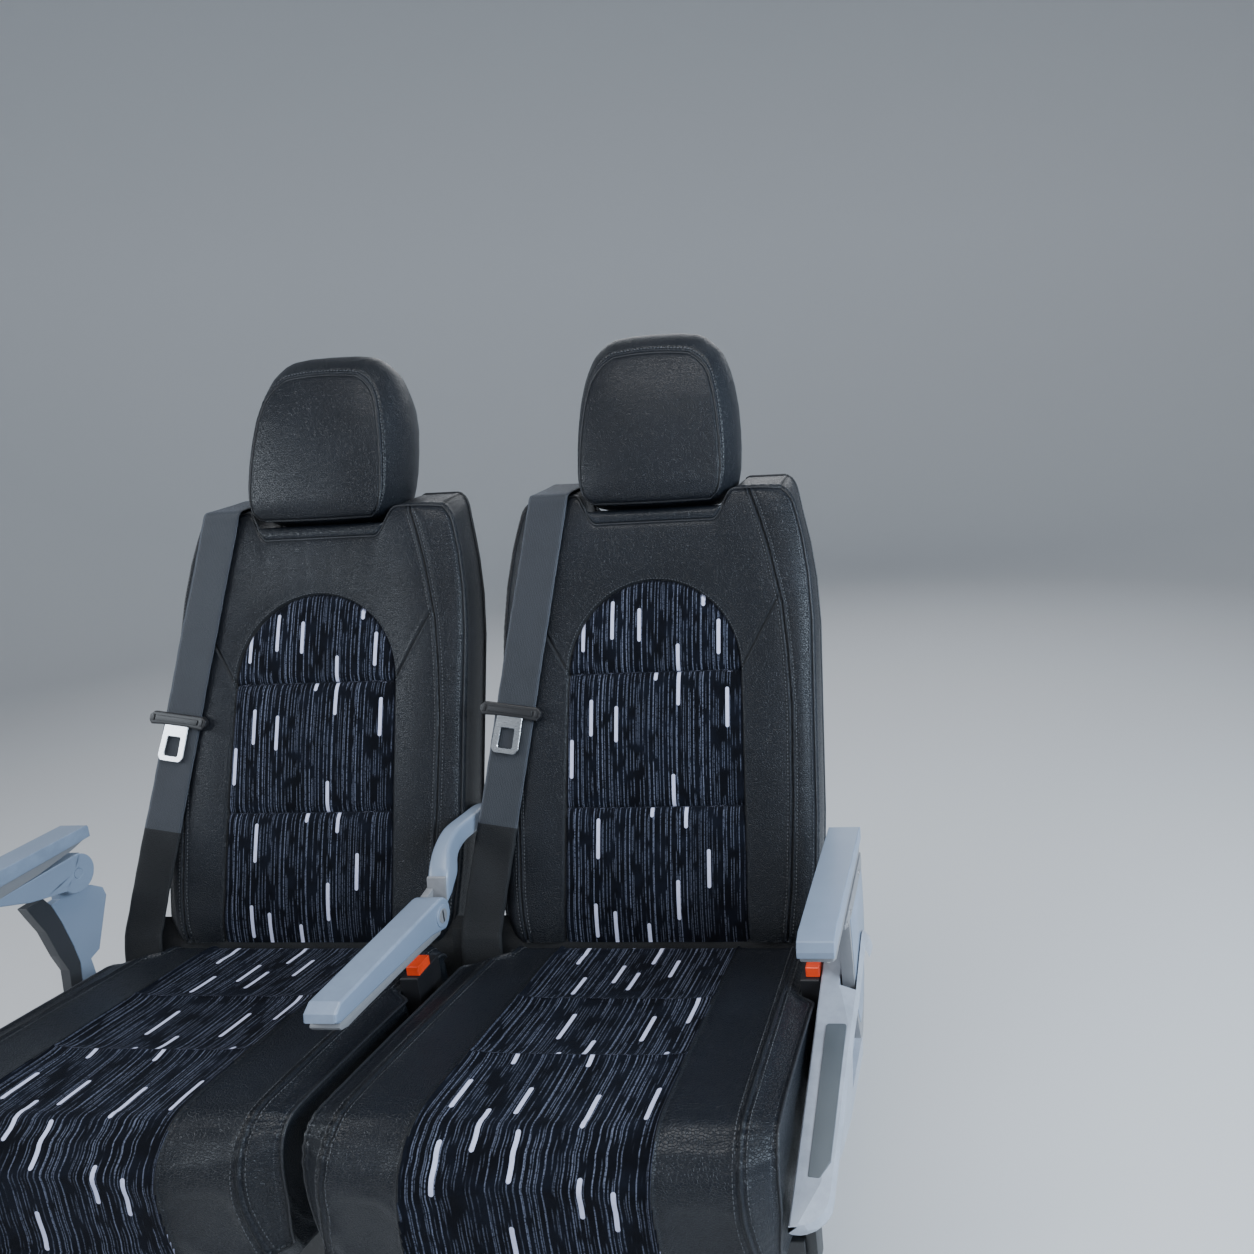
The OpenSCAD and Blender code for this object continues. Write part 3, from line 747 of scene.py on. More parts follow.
def tube_arrays(path, radius, n=8, closed=False):
    """Vertices and faces of a round tube along points."""
    p = np.asarray(path, float)
    if closed:
        tan = np.roll(p, -1, 0) - np.roll(p, 1, 0)
    else:
        tan = np.gradient(p, axis=0)
    tan /= np.maximum(np.linalg.norm(tan, axis=1, keepdims=True), 1e-9)
    nrm = np.zeros_like(p)
    a = np.cross(tan[0], (0.31, 0.52, 0.79))
    nrm[0] = a / np.linalg.norm(a)
    for k in range(1, len(p)):
        v = nrm[k - 1] - tan[k] * (nrm[k - 1] @ tan[k])
        nrm[k] = v / max(np.linalg.norm(v), 1e-9)
    bin_ = np.cross(tan, nrm)
    ang = np.arange(n) * 2 * math.pi / n
    rad = np.asarray(radius, float) * np.ones(len(p))
    v = (p[:, None] + rad[:, None, None] * (np.cos(ang)[None, :, None] * nrm[:, None] + np.sin(ang)[None, :, None] * bin_[:, None])).reshape(-1, 3)
    f = []
    m = len(p)
    for k in range(m if closed else m - 1):
        a0, b0 = k * n, ((k + 1) % m) * n
        for q in range(n):
            r = (q + 1) % n
            f.append((a0 + q, a0 + r, b0 + r, b0 + q))
    if not closed:
        f.append(tuple(range(n))[::-1])
        f.append(tuple((m - 1) * n + q for q in range(n)))
    return v, f


def stitch_arrays(pos, nrm, tan, length=3.7, r=0.82):
    """Small six-sided stitches lying on a surface, each dipping in at its two ends."""
    n = len(pos)
    side = np.cross(nrm, tan)
    ang = np.arange(6) * math.pi / 3
    ring = np.stack([np.cos(ang), np.sin(ang)], 1)
    out = np.zeros((n, 20, 3))
    lift = 0.35
    for k, (s, rad, dz) in enumerate(((-0.34, 0.8, 0.0), (0.0, 1.0, 0.25), (0.34, 0.8, 0.0))):
        base = pos + tan * (s * length) + nrm * (lift + dz)
        out[:, k * 6 : k * 6 + 6] = base[:, None] + r * rad * (ring[None, :, 0:1] * side[:, None] + ring[None, :, 1:2] * nrm[:, None])
    out[:, 18] = pos - tan * (0.5 * length) - nrm * 0.5
    out[:, 19] = pos + tan * (0.5 * length) - nrm * 0.5
    f = []
    for q in range(6):
        p = (q + 1) % 6
        f += [(18, p, q), (q, p, 6 + p, 6 + q), (6 + q, 6 + p, 12 + p, 12 + q), (12 + q, 12 + p, 19)]
    faces = [tuple(b * 20 + i for i in t) for b in range(n) for t in f]
    return out.reshape(-1, 3), faces


def along(line, pitch, start=0.0):
    """Points every pitch along a 2D polyline, with unit tangents."""
    p = np.asarray(line, float)
    seg = np.hypot(*np.diff(p, axis=0).T)
    s = np.concatenate([[0], np.cumsum(seg)])
    q = np.arange(start, s[-1], pitch)
    x, y = np.interp(q, s, p[:, 0]), np.interp(q, s, p[:, 1])
    e = 0.8
    dx = np.interp(np.clip(q + e, 0, s[-1]), s, p[:, 0]) - np.interp(np.clip(q - e, 0, s[-1]), s, p[:, 0])
    dy = np.interp(np.clip(q + e, 0, s[-1]), s, p[:, 1]) - np.interp(np.clip(q - e, 0, s[-1]), s, p[:, 1])
    m = np.maximum(np.hypot(dx, dy), 1e-9)
    return x, y, dx / m, dy / m


def offset_line(line, d):
    """The polyline moved sideways by d."""
    p = np.asarray(line, float)
    t = np.gradient(p, axis=0)
    t /= np.linalg.norm(t, axis=1, keepdims=True)
    return p + np.stack([t[:, 1], -t[:, 0]], 1) * d


class Parts:
    """Collects vertices, faces and materials into one mesh object."""

    def __init__(self):
        self.v, self.f, self.m, self.n, self.attrs = [], [], [], 0, {}

    def add(self, verts, faces, mat=0):
        self.v.append(np.asarray(verts, float))
        self.f += [tuple(int(i) + self.n for i in t) for t in faces]
        self.m += [mat] * len(faces)
        self.n += len(verts)
        return self

    def bm(self, bm, mat=0):
        bm.verts.index_update()
        v = np.array([x.co for x in bm.verts], float)
        f = [tuple(x.index for x in y.verts) for y in bm.faces]
        self.add(v, f, mat)
        bm.free()
        return self

    def stitches(self, drum, line, pitch=4.6, start=1.0, mat=0, length=3.4, r=0.62):
        x, y, dx, dy = along(line, pitch, start)
        p, n = drum.at(x, y)
        q, _ = drum.at(x + dx, y + dy)
        t = q - p
        t -= n * np.sum(t * n, axis=1, keepdims=True)
        t /= np.maximum(np.linalg.norm(t, axis=1, keepdims=True), 1e-9)
        v, f = stitch_arrays(p, n, t, length, r)
        return self.add(v, f, mat)

    def mesh(self, name, mats, place=None, sharp=None):
        v = np.concatenate(self.v)
        if place is not None:
            v = place(v)
        me = bpy.data.meshes.new(name)
        me.from_pydata((v * 0.001).tolist(), [], self.f)
        me.polygons.foreach_set("material_index", self.m)
        me.polygons.foreach_set("use_smooth", [True] * len(self.f))
        for mt in mats:
            me.materials.append(mt)
        me.validate()
        me.update()
        if sharp is not None:
            me.set_sharp_from_angle(angle=math.radians(sharp))
        return me


def show(name, me, body, replaces=()):
    ob = bpy.data.objects.new(name, me)
    SCENE.collection.objects.link(ob)
    if body is not None:
        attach(ob, body)
    if replaces:
        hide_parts(*replaces)
    return ob


def shifted(me, dx, name):
    c = me.copy()
    c.name = name
    c.transform(Matrix.Translation((dx * 0.001, 0, 0)))
    return c


# ---------------------------------------------------------------- hard forms


def prism(pts, a, b, axis="x", bevel=1.2, seg=3, only=None):
    """A plate from a 2D outline. axis x: points are (y, z); y: (x, z); z: (x, y)."""
    bm = bmesh.new()

    def put(p, d):
        return {"x": (d, p[0], p[1]), "y": (p[0], d, p[1]), "z": (p[0], p[1], d)}[axis]

    lo = [bm.verts.new(put(p, a)) for p in pts]
    hi = [bm.verts.new(put(p, b)) for p in pts]
    n = len(pts)
    bm.faces.new(lo)
    bm.faces.new(hi[::-1])
    for i in range(n):
        j = (i + 1) % n
        bm.faces.new((lo[i], hi[i], hi[j], lo[j]))
    bmesh.ops.recalc_face_normals(bm, faces=bm.faces)
    if bevel > 0:
        edges = [e for e in bm.edges if e.calc_face_angle(0) > math.radians(24) and (only is None or only(e))]
        bmesh.ops.bevel(bm, geom=edges, offset=bevel, segments=seg, profile=0.6, affect="EDGES", clamp_overlap=True)
    return bm


def disc(centre, axis, r, h, n=40, bevel=0.6, seg=2):
    """A round boss whose axis is x, y or z, from centre along the axis by h."""
    bm = bmesh.new()
    ring = []
    for d in (0, h):
        row = []
        for k in range(n):
            a = 2 * math.pi * k / n
            p, q = r * math.cos(a), r * math.sin(a)
            o = {"x": (d, p, q), "y": (p, d, q), "z": (p, q, d)}[axis]
            row.append(bm.verts.new([centre[i] + o[i] for i in range(3)]))
        ring.append(row)
    bm.faces.new(ring[0])
    bm.faces.new(ring[1][::-1])
    for k in range(n):
        j = (k + 1) % n
        bm.faces.new((ring[0][k], ring[1][k], ring[1][j], ring[0][j]))
    bmesh.ops.recalc_face_normals(bm, faces=bm.faces)
    if bevel > 0:
        edges = [e for e in bm.edges if e.calc_face_angle(0) > math.radians(40)]
        bmesh.ops.bevel(bm, geom=edges, offset=bevel, segments=seg, profile=0.5, affect="EDGES", clamp_overlap=True)
    return bm


def curve_pts(pts, n=6):
    """Catmull-Rom curve through 2D or 3D points, open."""
    p = np.asarray(pts, float)
    return cubic(len(p), n) @ p


def arc(cx, cy, r, a0, a1, n=10):
    a = np.radians(np.linspace(a0, a1, n))
    return [(cx + r * math.cos(t), cy + r * math.sin(t)) for t in a]


def fillet(pts, radii, n=5):
    """A closed polygon with rounded corners."""
    out = []
    m = len(pts)
    if not hasattr(radii, "__len__"):
        radii = [radii] * m
    for i in range(m):
        p0, p, p1 = (np.array(pts[k % m], float) for k in (i - 1, i, i + 1))
        r = radii[i]
        if r <= 0:
            out.append(tuple(p))
            continue
        a, b = p0 - p, p1 - p
        la, lb = np.linalg.norm(a), np.linalg.norm(b)
        a, b = a / la, b / lb
        ang = math.acos(max(-1, min(1, a @ b)))
        d = min(r / math.tan(ang / 2), la * 0.49, lb * 0.49)
        s, e = p + a * d, p + b * d
        for k in range(n + 1):
            t = k / n
            out.append(tuple((1 - t) ** 2 * s + 2 * t * (1 - t) * p + t**2 * e))
    return out


def loft(rings, caps=True, closed=True):
    """Vertices and faces through rings of equal length."""
    r = np.asarray(rings, float)
    k, n, _ = r.shape
    f = []
    for a in range(k - 1):
        for q in range(n if closed else n - 1):
            p = (q + 1) % n
            f.append((a * n + q, (a + 1) * n + q, (a + 1) * n + p, a * n + p))
    if caps:
        f.append(tuple(range(n)))
        f.append(tuple((k - 1) * n + q for q in range(n))[::-1])
    return r.reshape(-1, 3), f


def cut(me, cutter_bm):
    """Boolean difference on a mesh, both in the same units as the mesh."""
    cm = bpy.data.meshes.new("cutter")
    cutter_bm.to_mesh(cm)
    cutter_bm.free()
    a, b = bpy.data.objects.new("cut_a", me), bpy.data.objects.new("cut_b", cm)
    for o in (a, b):
        SCENE.collection.objects.link(o)
    mod = a.modifiers.new("cut", "BOOLEAN")
    mod.operation, mod.solver, mod.object = "DIFFERENCE", "EXACT", b
    dg = bpy.context.evaluated_depsgraph_get()
    dg.update()
    out = bpy.data.meshes.new_from_object(a.evaluated_get(dg))
    for o in (a, b):
        bpy.data.objects.remove(o)
    bpy.data.meshes.remove(cm)
    return out


def screw(parts, centre, axis, r=3.2, h=1.6, mat=1, dark=2):
    """A small socket screw head that stands on a face; axis is x, -x, y, -y or z."""
    sign = -1 if axis.startswith("-") else 1
    ax = axis[-1]
    parts.bm(disc(centre, ax, r, sign * h, 24, 0.5, 2), mat)
    # painted shade: the socket is a small dark hexagon standing on the head, for the shadow in the hole
    i = "xyz".index(ax)
    c2 = list(centre)
    c2[i] += sign * (h - 0.5)
    parts.bm(disc(c2, ax, r * 0.45, sign * 0.55, 6, 0.0), dark)


def to_back(v, cx=0.0):
    """Backrest axes to the row frame, in mm."""
    v = np.asarray(v, float)
    x, t, h = v[..., 0], v[..., 1], v[..., 2]
    return np.stack([x + cx, 168 + h * S19 + t * C19, 443 + h * C19 - t * S19], -1)


# ================================================================ backrest
B_ROWS = np.array([[-8, 186], [4, 196], [30, 203.5], [90, 209], [150, 211], [400, 211], [460, 207], [510, 199.5], [540, 192.5], [556, 188], [566, 183], [577, 172]], float)
R_ROWS = np.array([[-8, 186], [4, 196], [30, 203.5], [90, 209], [150, 211], [400, 211], [460, 207], [510, 199.5], [556, 189], [580, 184.5], [595, 180.5], [605, 172]], float)
B_H0, B_H1 = -4.0, 577.0
DBL = np.array([[-4, 169.5], [60, 177], [171, 181], [289, 182], [360, 178], [421, 172], [497, 155], [540, 142], [577, 128.5]], float)


def b_half(h):
    return np.interp(h, B_ROWS[:, 0], B_ROWS[:, 1]) - 0.5


def b_top(x):
    """Height of the front face's upper seam: low under the headrest, high at the shoulders."""
    return 536 + (B_H1 - 536) * smooth(np.abs(x), 80, 110)


def b_param(U, V):
    X = U * b_half(B_H0 + V * (B_H1 - B_H0))
    return X, B_H0 + V * (b_top(X) - B_H0)


def b_uv(x, h):
    v = (h - B_H0) / (b_top(x) - B_H0)
    return x / b_half(B_H0 + np.clip(v, 0, 1) * (B_H1 - B_H0)), v


def b_dbl(h):
    return np.interp(h, DBL[:, 0], DBL[:, 1])


def b_front(U, V):
    X, H = b_param(U, V)
    ax = np.abs(X)
    xs, xe = b_dbl(H), b_half(H)
    t = -12.5 - 3.5 * smooth(ax, 100, 165)
    t = t + 13.0 * np.clip((ax - xs) / np.maximum(xe - xs, 8), 0, 1) ** 2.0
    t = t + 9.0 * np.clip((40 - H) / 44, 0, 1) ** 2.2
    t = t + 4.5 * np.clip((H - 556) / 21, 0, 1) ** 2 * smooth(ax, 96, 116)
    # lumbar swell low down, and a slight hollow at shoulder height
    t = t - 2.0 * gauss(H - 190, 95) * (1 - smooth(ax, 120, 190)) + 2.2 * gauss(H - 450, 80) * (1 - smooth(ax, 90, 170))
    return np.stack([X, t, H], -1)


def b_rear(U, V):
    half = np.interp(-6 + V * 611, R_ROWS[:, 0], R_ROWS[:, 1]) - 1.0
    X = U * half
    top = 556.5 + 48 * smooth(np.abs(X), 98, 116)
    return np.stack([X, np.full_like(X, 58.0), -3 + V * (top + 3)], -1)


def b_band(F, R, U, V, s):
    P = F + (R - F) * s
    top = V > 0.999
    side = (np.abs(U) > 0.999) & ~top
    P[..., 0] += np.where(side, np.sign(U) * 3.0 * math.sin(math.pi * min(1, s * 1.05)) ** 0.8, 0)
    dip = 1 - smooth(np.abs(F[..., 0]), 84, 108)
    roll = 1 - (1 - min(1.0, s / 0.42)) ** 2.4
    saddle_z = F[..., 2] + (R[..., 2] - F[..., 2]) * roll
    # the yoke strip stands up from its seam before it turns to the rear
    saddle_t = F[..., 1] + (R[..., 1] - F[..., 1]) * np.clip((s - 0.16) / 0.84, 0, 1) ** 1.1 - 1.5 * math.sin(math.pi * min(1.0, s / 0.3))
    shoulder_z = F[..., 2] + (R[..., 2] - F[..., 2]) * (0.88 * s + 0.12 * (1 - (1 - s) ** 3)) + 1.0 * math.sin(math.pi * s)
    P[..., 2] = np.where(top, saddle_z * dip + shoulder_z * (1 - dip), P[..., 2])
    P[..., 1] = np.where(top, saddle_t * dip + P[..., 1] * (1 - dip), P[..., 1])
    return P


ARCH = [(115 * math.cos(a), 337 + 120 * math.sin(a)) for a in np.linspace(0, math.pi, 41)]
INS_R = [(119.5, -4), (118.5, 90), (118, 165), (116.5, 250), (115, 337)]
INS_L = [(-x, h) for x, h in INS_R]
SEAM1 = [(-115, 337), (115, 337)]
SEAM2 = [(-118, 165), (118, 165)]
DBL_R = [(b_dbl(h), h) for h in np.linspace(-2, 577, 60)]
DBL_L = [(-x, h) for x, h in DBL_R]
DIAG_R = [(115, 337), (b_dbl(430) - 3, 430)]
DIAG_L = [(-x, h) for x, h in DIAG_R]


def b_near_parts(x, h):
    ins = np.minimum.reduce([poly_dist(x, h, ARCH), poly_dist(x, h, INS_R), poly_dist(x, h, INS_L)])
    hor = np.minimum(poly_dist(x, h, SEAM1), poly_dist(x, h, SEAM2))
    dbl = np.minimum(poly_dist(x, h, DBL_R), poly_dist(x, h, DBL_L))
    dia = np.minimum(poly_dist(x, h, DIAG_R), poly_dist(x, h, DIAG_L))
    return ins, hor, dbl, dia


def b_near(x, h):
    return np.minimum.reduce(b_near_parts(x, h))


def in_insert(x, h):
    half = np.interp(h, [-4, 165, 337], [119.5, 118, 115])
    e = (x / 115.0) ** 2 + ((h - 337) / 120.0) ** 2
    return np.where(h <= 337, np.abs(x) < half, e < 1)


def b_band_near(d):
    """Seams that run rearwards at the two upper corners."""
    n = len(d.PB)
    idx = np.arange(n)
    out = np.full(d.PB.shape[:2], 1e9)
    for c in (d.CN + d.RN, 2 * d.CN + d.RN):
        gap = np.minimum(np.abs(idx - c), n - np.abs(idx - c)) * 1.15
        out = np.minimum(out, gap[:, None] * np.ones((1, d.PB.shape[1])))
    rear = d.SB[:, -1:] - d.SB
    return np.minimum(out, rear)


def make_backrest():
    d = Drum("backrest", 60, 84, 10, b_front, b_rear, b_band, b_param, b_uv, b_near, cap=5.0, pressure=4.0, band_near=b_band_near)
    ins, hor, dbl, dia = b_near_parts(d.X, d.H)
    top_gap = np.maximum(b_top(d.X) - d.H, 0)
    half = b_half(B_H0 + d.V * (B_H1 - B_H0))
    edge = np.minimum(half - np.abs(d.X), top_gap)
    swell = 2.2 * (1 - np.exp(-np.minimum.reduce([ins, dbl, edge]) / 11.0)) - 2.2
    inside = in_insert(d.X, d.H)
    pull = -2.6 * gauss(hor, 7.0) * inside - 1.2 * gauss(hor, 1.7) * inside
    pucker = 0.22 * np.sin(d.X * 2 * math.pi / 9.0 + 1.3 * np.sin(d.X * 0.21)) * gauss(hor, 6) * inside
    groove = -1.7 * gauss(ins, 1.6) + 0.6 * gauss(ins - 4.0, 2.4)
    double = -1.9 * gauss(dbl, 1.0) + 1.25 * gauss(dbl - 2.6, 1.25) - 0.7 * gauss(dbl - 6.0, 1.3)
    diag = -1.5 * gauss(dia, 1.3) + 0.5 * gauss(dia - 3.2, 2.0)
    rim = -1.0 * gauss(edge, 2.2) + 0.5 * gauss(edge - 5.0, 2.6)
    along_h = 0.16 * np.sin(d.H * 2 * math.pi / 8.0 + 1.7 * np.sin(d.H * 0.17)) * (gauss(dbl - 8, 5) + gauss(edge - 7, 5))
    dF = swell + pull + pucker + groove + double + diag + rim + along_h
    bn = b_band_near(d)
    corner = bn
    dB = -1.3 * gauss(d.SB, 2.0) + 0.8 * gauss(d.SB - 5.5, 2.6) - 1.1 * gauss(corner, 1.6) + 0.4 * gauss(corner - 4, 2.5)
    dB += 0.25 * np.sin(d.LB[:, None] * 2 * math.pi / 9.5 + 2 * np.sin(d.LB[:, None] * 0.09)) * gauss(d.SB - 9, 6)
    d.displace(dF, dB)
    d.NF = normals(d.PF)
    # painted shade along the seam grooves and edges, and painted highlight on the seam ridges and beside the welt
    painted_shadeF = np.clip(gauss(ins, 1.5) + 0.85 * gauss(dbl, 0.9) + 0.75 * gauss(dia, 1.2) + 0.9 * gauss(hor, 1.2) * inside + 0.5 * gauss(dbl - 6, 1.0) + 0.6 * gauss(edge, 2.0), 0, 1)
    painted_shadeB = np.clip(0.8 * gauss(d.SB, 1.6) + 0.8 * gauss(corner, 1.4), 0, 1)
    painted_highlightF = np.clip(0.9 * gauss(dbl - 2.6, 1.1) + 0.7 * gauss(edge - 4, 2.0) * (np.abs(d.X) > 100), 0, 1)
    painted_highlightB = np.clip(0.8 * gauss(d.SB - 3.5, 1.8), 0, 1)
    return d, painted_shadeF, painted_shadeB, painted_highlightF, painted_highlightB


def b_sections(x, h):
    return np.where(h > 337, 1.0, np.where(h > 165, 2.0, 3.0))


back, cf, cb, wf, wb = make_backrest()
BACK_MESH = back.mesh(to_back, in_insert, b_sections, cf, cb, wf, wb)


def back_trim():
    p = Parts()
    loop = back.PB[:, 0]
    n_out = back.NB[:, 2] + back.NF[back.lj, back.li]
    n_out /= np.linalg.norm(n_out, axis=1, keepdims=True)
    sel = np.arange(0, len(loop), 4)
    keep = back.CN  # the lower edge stays plain
    path = (loop + n_out * 0.5)[sel]
    path = path[(sel >= keep - 3)]
    v, f = tube_arrays(path, 1.75, 8)
    p.add(v, f, 1)
    rear = (back.PB[:, -4] + back.NB[:, -4] * 0.3)[sel]
    v, f = tube_arrays(rear[(sel >= keep)], 1.6, 8)
    p.add(v, f, 1)
    for side in (1, -1):
        for off in (6.0, -6.0):
            line = offset_line([(side * x, h) for x, h in DBL_R][1:-1], off)
            p.stitches(back, line, 4.7)
        line = [(side * (b_half(h) - 5.0), h) for h in np.linspace(30, 560, 50)]
        p.stitches(back, line, 4.7)
    arch = offset_line(ARCH, 3.6)
    p.stitches(back, arch, 4.2, r=0.5, length=3.0)
    return p


STITCH_BACK = back_trim().mesh("backrest_seams", [THREAD, PIPING], to_back)

# ================================================================ headrest
HR = np.array([[556, 70], [559, 79], [563, 85.5], [571, 91.5], [583, 95], [604, 96.5], [640, 95.3], [674, 92], [705, 87.5], [728, 81.5], [744, 74], [755, 64.5], [762, 52]], float)
HR_H0, HR_H1 = 559.0, 762.0
HR_OUT = [(0, 800), (34, 799.3), (58, 796), (75, 787.5), (88, 772), (96.5, 752), (102.5, 730), (107.5, 700), (110, 667), (110.6, 640), (109.5, 612), (106, 592), (99, 576.5), (88, 566.5), (70, 561.5), (0, 560)]
HR_REAR = [(0, 771), (52, 768.5), (74, 758), (88, 738), (94, 705), (95, 670), (93, 640), (85, 613), (62, 599), (0, 595)]


def ray_loop(half, x, h, cx=0.0, ch=672.0):
    """Points of a symmetric outline on the rays from its centre through the given points."""
    pts = list(half) + [(-a, b) for a, b in half[-2:0:-1]]
    ang = np.array([math.atan2(b - ch, a - cx) for a, b in pts])
    rad = np.array([math.hypot(a - cx, b - ch) for a, b in pts])
    o = np.argsort(ang)
    ang, rad = ang[o], rad[o]
    ang = np.concatenate([ang - 2 * math.pi, ang, ang + 2 * math.pi])
    rad = np.concatenate([rad, rad, rad])
    # dense outline, then looked up by angle
    px, ph = rad * np.cos(ang), rad * np.sin(ang)
    k = np.linspace(0, len(px) - 1, 2400)
    dx, dh = np.interp(k, np.arange(len(px)), px), np.interp(k, np.arange(len(px)), ph)
    da = np.unwrap(np.arctan2(dh, dx))
    da += ang[0] - da[0]
    th = np.arctan2(h - ch, x - cx)
    r = np.interp(th, da, np.hypot(dx, dh))
    return cx + r * np.cos(th), ch + r * np.sin(th)


def h_half(h):
    return np.interp(h, HR[:, 0], HR[:, 1])


def h_param(U, V):
    h = HR_H0 + V * (HR_H1 - HR_H0)
    X = U * h_half(h)
    return X, h + 0.0 * X


def h_uv(x, h):
    v = (h - HR_H0) / (HR_H1 - HR_H0)
    return x / h_half(np.clip(h, HR_H0, HR_H1)), v


def h_front(U, V):
    X, H = h_param(U, V)
    w = np.abs(X) / 92
    t = np.interp(H, [556, 559, 564, 572, 586, 616, 660, 700, 730, 750, 762], [-17.5, -22.5, -27.5, -32, -35.5, -37.0, -37.2, -35.5, -31.5, -27.0, -23.5])
    t = t + 6.5 * w**2.6
    H = H + 3.0 * (1 - (X / 50) ** 2) * smooth(H, 735, 762) + 2.5 * np.clip(w, 0, 1) ** 2 * (1 - smooth(H, 556, 575))
    return np.stack([X, t, H], -1)


def coons(loop, nu, nv):
    """Fills a closed loop (anticlockwise from the lower left corner) with a grid."""
    lo, right = loop[: nu + 1], loop[nu : nu + nv + 1]
    up, left = loop[nu + nv : 2 * nu + nv + 1][::-1], np.concatenate([loop[2 * nu + nv :], loop[:1]])[::-1]
    u, v = np.linspace(0, 1, nu + 1)[None, :, None], np.linspace(0, 1, nv + 1)[:, None, None]
    p = (1 - v) * lo[None] + v * up[None] + (1 - u) * left[:, None] + u * right[:, None]
    return p - ((1 - u) * (1 - v) * lo[0] + u * (1 - v) * lo[-1] + (1 - u) * v * up[0] + u * v * up[-1])


def h_rear(U, V):
    nu, nv = U.shape[1] - 1, U.shape[0] - 1
    F = h_front(U, V)
    lj, li = loop_ij(nu, nv)
    b = F[lj, li]
    x, h = ray_loop(HR_REAR, b[:, 0], b[:, 2])
    t = 75.0 - 6.0 * smooth(-h, -640, -599) - 5.0 * smooth(h, 735, 771)
    g = coons(np.stack([x, t, h], -1), nu, nv)
    g[..., 1] += 4.0 * np.clip(1 - (g[..., 0] / 90) ** 2, 0, 1) * np.clip(1 - ((g[..., 2] - 692) / 80) ** 2, 0, 1)
    return g


def h_band(F, R, U, V, s):
    x1, h1 = ray_loop(HR_OUT, F[..., 0], F[..., 2])
    low = smooth(-h1, -600, -566)
    high = smooth(h1, 745, 795)
    A = np.stack([x1, 9.0 - 6.0 * low - 2.0 * high, h1], -1)
    k = 0.985
    B = np.stack([x1 * k, 45.0 - 5.0 * low - 1.0 * high, 672 + (h1 - 672) * (k + 0.004 * low - 0.002 * high)], -1)
    w = [(s - 1 / 3) * (s - 2 / 3) * (s - 1) / (-2 / 9), s * (s - 2 / 3) * (s - 1) / (2 / 27), s * (s - 1 / 3) * (s - 1) / (-2 / 27), s * (s - 1 / 3) * (s - 2 / 3) / (2 / 9)]
    return F * w[0] + A * w[1] + B * w[2] + R * w[3]


def h_near(x, h):
    return np.full(np.shape(x), 1e9)


def make_headrest():
    d = Drum("headrest", 28, 30, 16, h_front, h_rear, h_band, h_param, h_uv, h_near, cap=3.5, pressure=3.0, band_near=lambda q: np.minimum(q.SB, np.abs(q.SB - 6.5)))
    half = h_half(HR_H0 + d.V * (HR_H1 - HR_H0))
    edge = np.minimum.reduce([half - np.abs(d.X), d.V * 200, (1 - d.V) * 200])
    dF = 1.8 * (1 - np.exp(-edge / 12.0)) - 1.8 - 1.2 * gauss(edge, 2.0) + 0.5 * gauss(edge - 4.0, 2.2)
    ripple = 0.2 * np.sin(d.LB[:, None] * 2 * math.pi / 8.6 + 2 * np.sin(d.LB[:, None] * 0.11))
    dB = -1.2 * gauss(d.SB, 1.6) + 1.1 * gauss(d.SB - 3.2, 1.7) - 0.9 * gauss(d.SB - 6.6, 1.3) + 0.5 * gauss(d.SB - 10, 2.6) + ripple * gauss(d.SB - 10, 6)
    d.displace(dF, dB)
    d.NF = normals(d.PF)
    # painted shade along the seams, and painted highlight on the welt beside the front seam
    painted_shadeF = np.clip(0.9 * gauss(edge, 1.5), 0, 1)
    painted_shadeB = np.clip(0.9 * gauss(d.SB, 1.4) + 0.6 * gauss(d.SB - 6.6, 1.0), 0, 1)
    painted_highlightB = np.clip(0.9 * gauss(d.SB - 3.2, 1.4), 0, 1)
    return d, painted_shadeF, painted_shadeB, painted_highlightB


head, cf, cb, wb = make_headrest()
HEAD_MESH = head.mesh(to_back, None, None, cf, cb, None, wb)


def band_stitches(p, drum, dist, pitch, lo=0.0, hi=1e9, length=3.7, r=0.82, mat=0):
    """A stitch row on the band at a set distance from the front edge."""
    n = len(drum.PB)
    pos, nrm = np.zeros((n, 3)), np.zeros((n, 3))
    for b in range(n):
        for q in range(3):
            pos[b, q] = np.interp(dist, drum.SB[b], drum.PB[b, :, q])
            nrm[b, q] = np.interp(dist, drum.SB[b], drum.NB[b, :, q])
    seg = np.linalg.norm(np.roll(pos, -1, 0) - pos, axis=1)
    s = np.concatenate([[0], np.cumsum(seg)])[:-1]
    q = np.arange(max(lo, 0.5), min(hi, s[-1]), pitch)
    pp = np.stack([np.interp(q, s, pos[:, k]) for k in range(3)], 1)
    nn = np.stack([np.interp(q, s, nrm[:, k]) for k in range(3)], 1)
    nn /= np.linalg.norm(nn, axis=1, keepdims=True)
    p2 = np.stack([np.interp(q + 1.0, s, pos[:, k]) for k in range(3)], 1)
    t = p2 - pp
    t -= nn * np.sum(t * nn, axis=1, keepdims=True)
    t /= np.maximum(np.linalg.norm(t, axis=1, keepdims=True), 1e-9)
    v, f = stitch_arrays(pp, nn, t, length, r)
    p.add(v, f, mat)


def head_trim():
    p = Parts()
    n_out = head.NB[:, 2] + head.NF[head.lj, head.li]
    n_out /= np.linalg.norm(n_out, axis=1, keepdims=True)
    sel = np.arange(0, len(head.PB), 3)
    v, f = tube_arrays((head.PB[:, 0] + n_out * 0.4)[sel], 1.5, 8, closed=True)
    p.add(v, f, 1)
    band_stitches(p, head, 6.6, 4.6, lo=head.LB[head.CN])
    return p


STITCH_HEAD = head_trim().mesh("headrest_seams", [THREAD, PIPING], to_back)

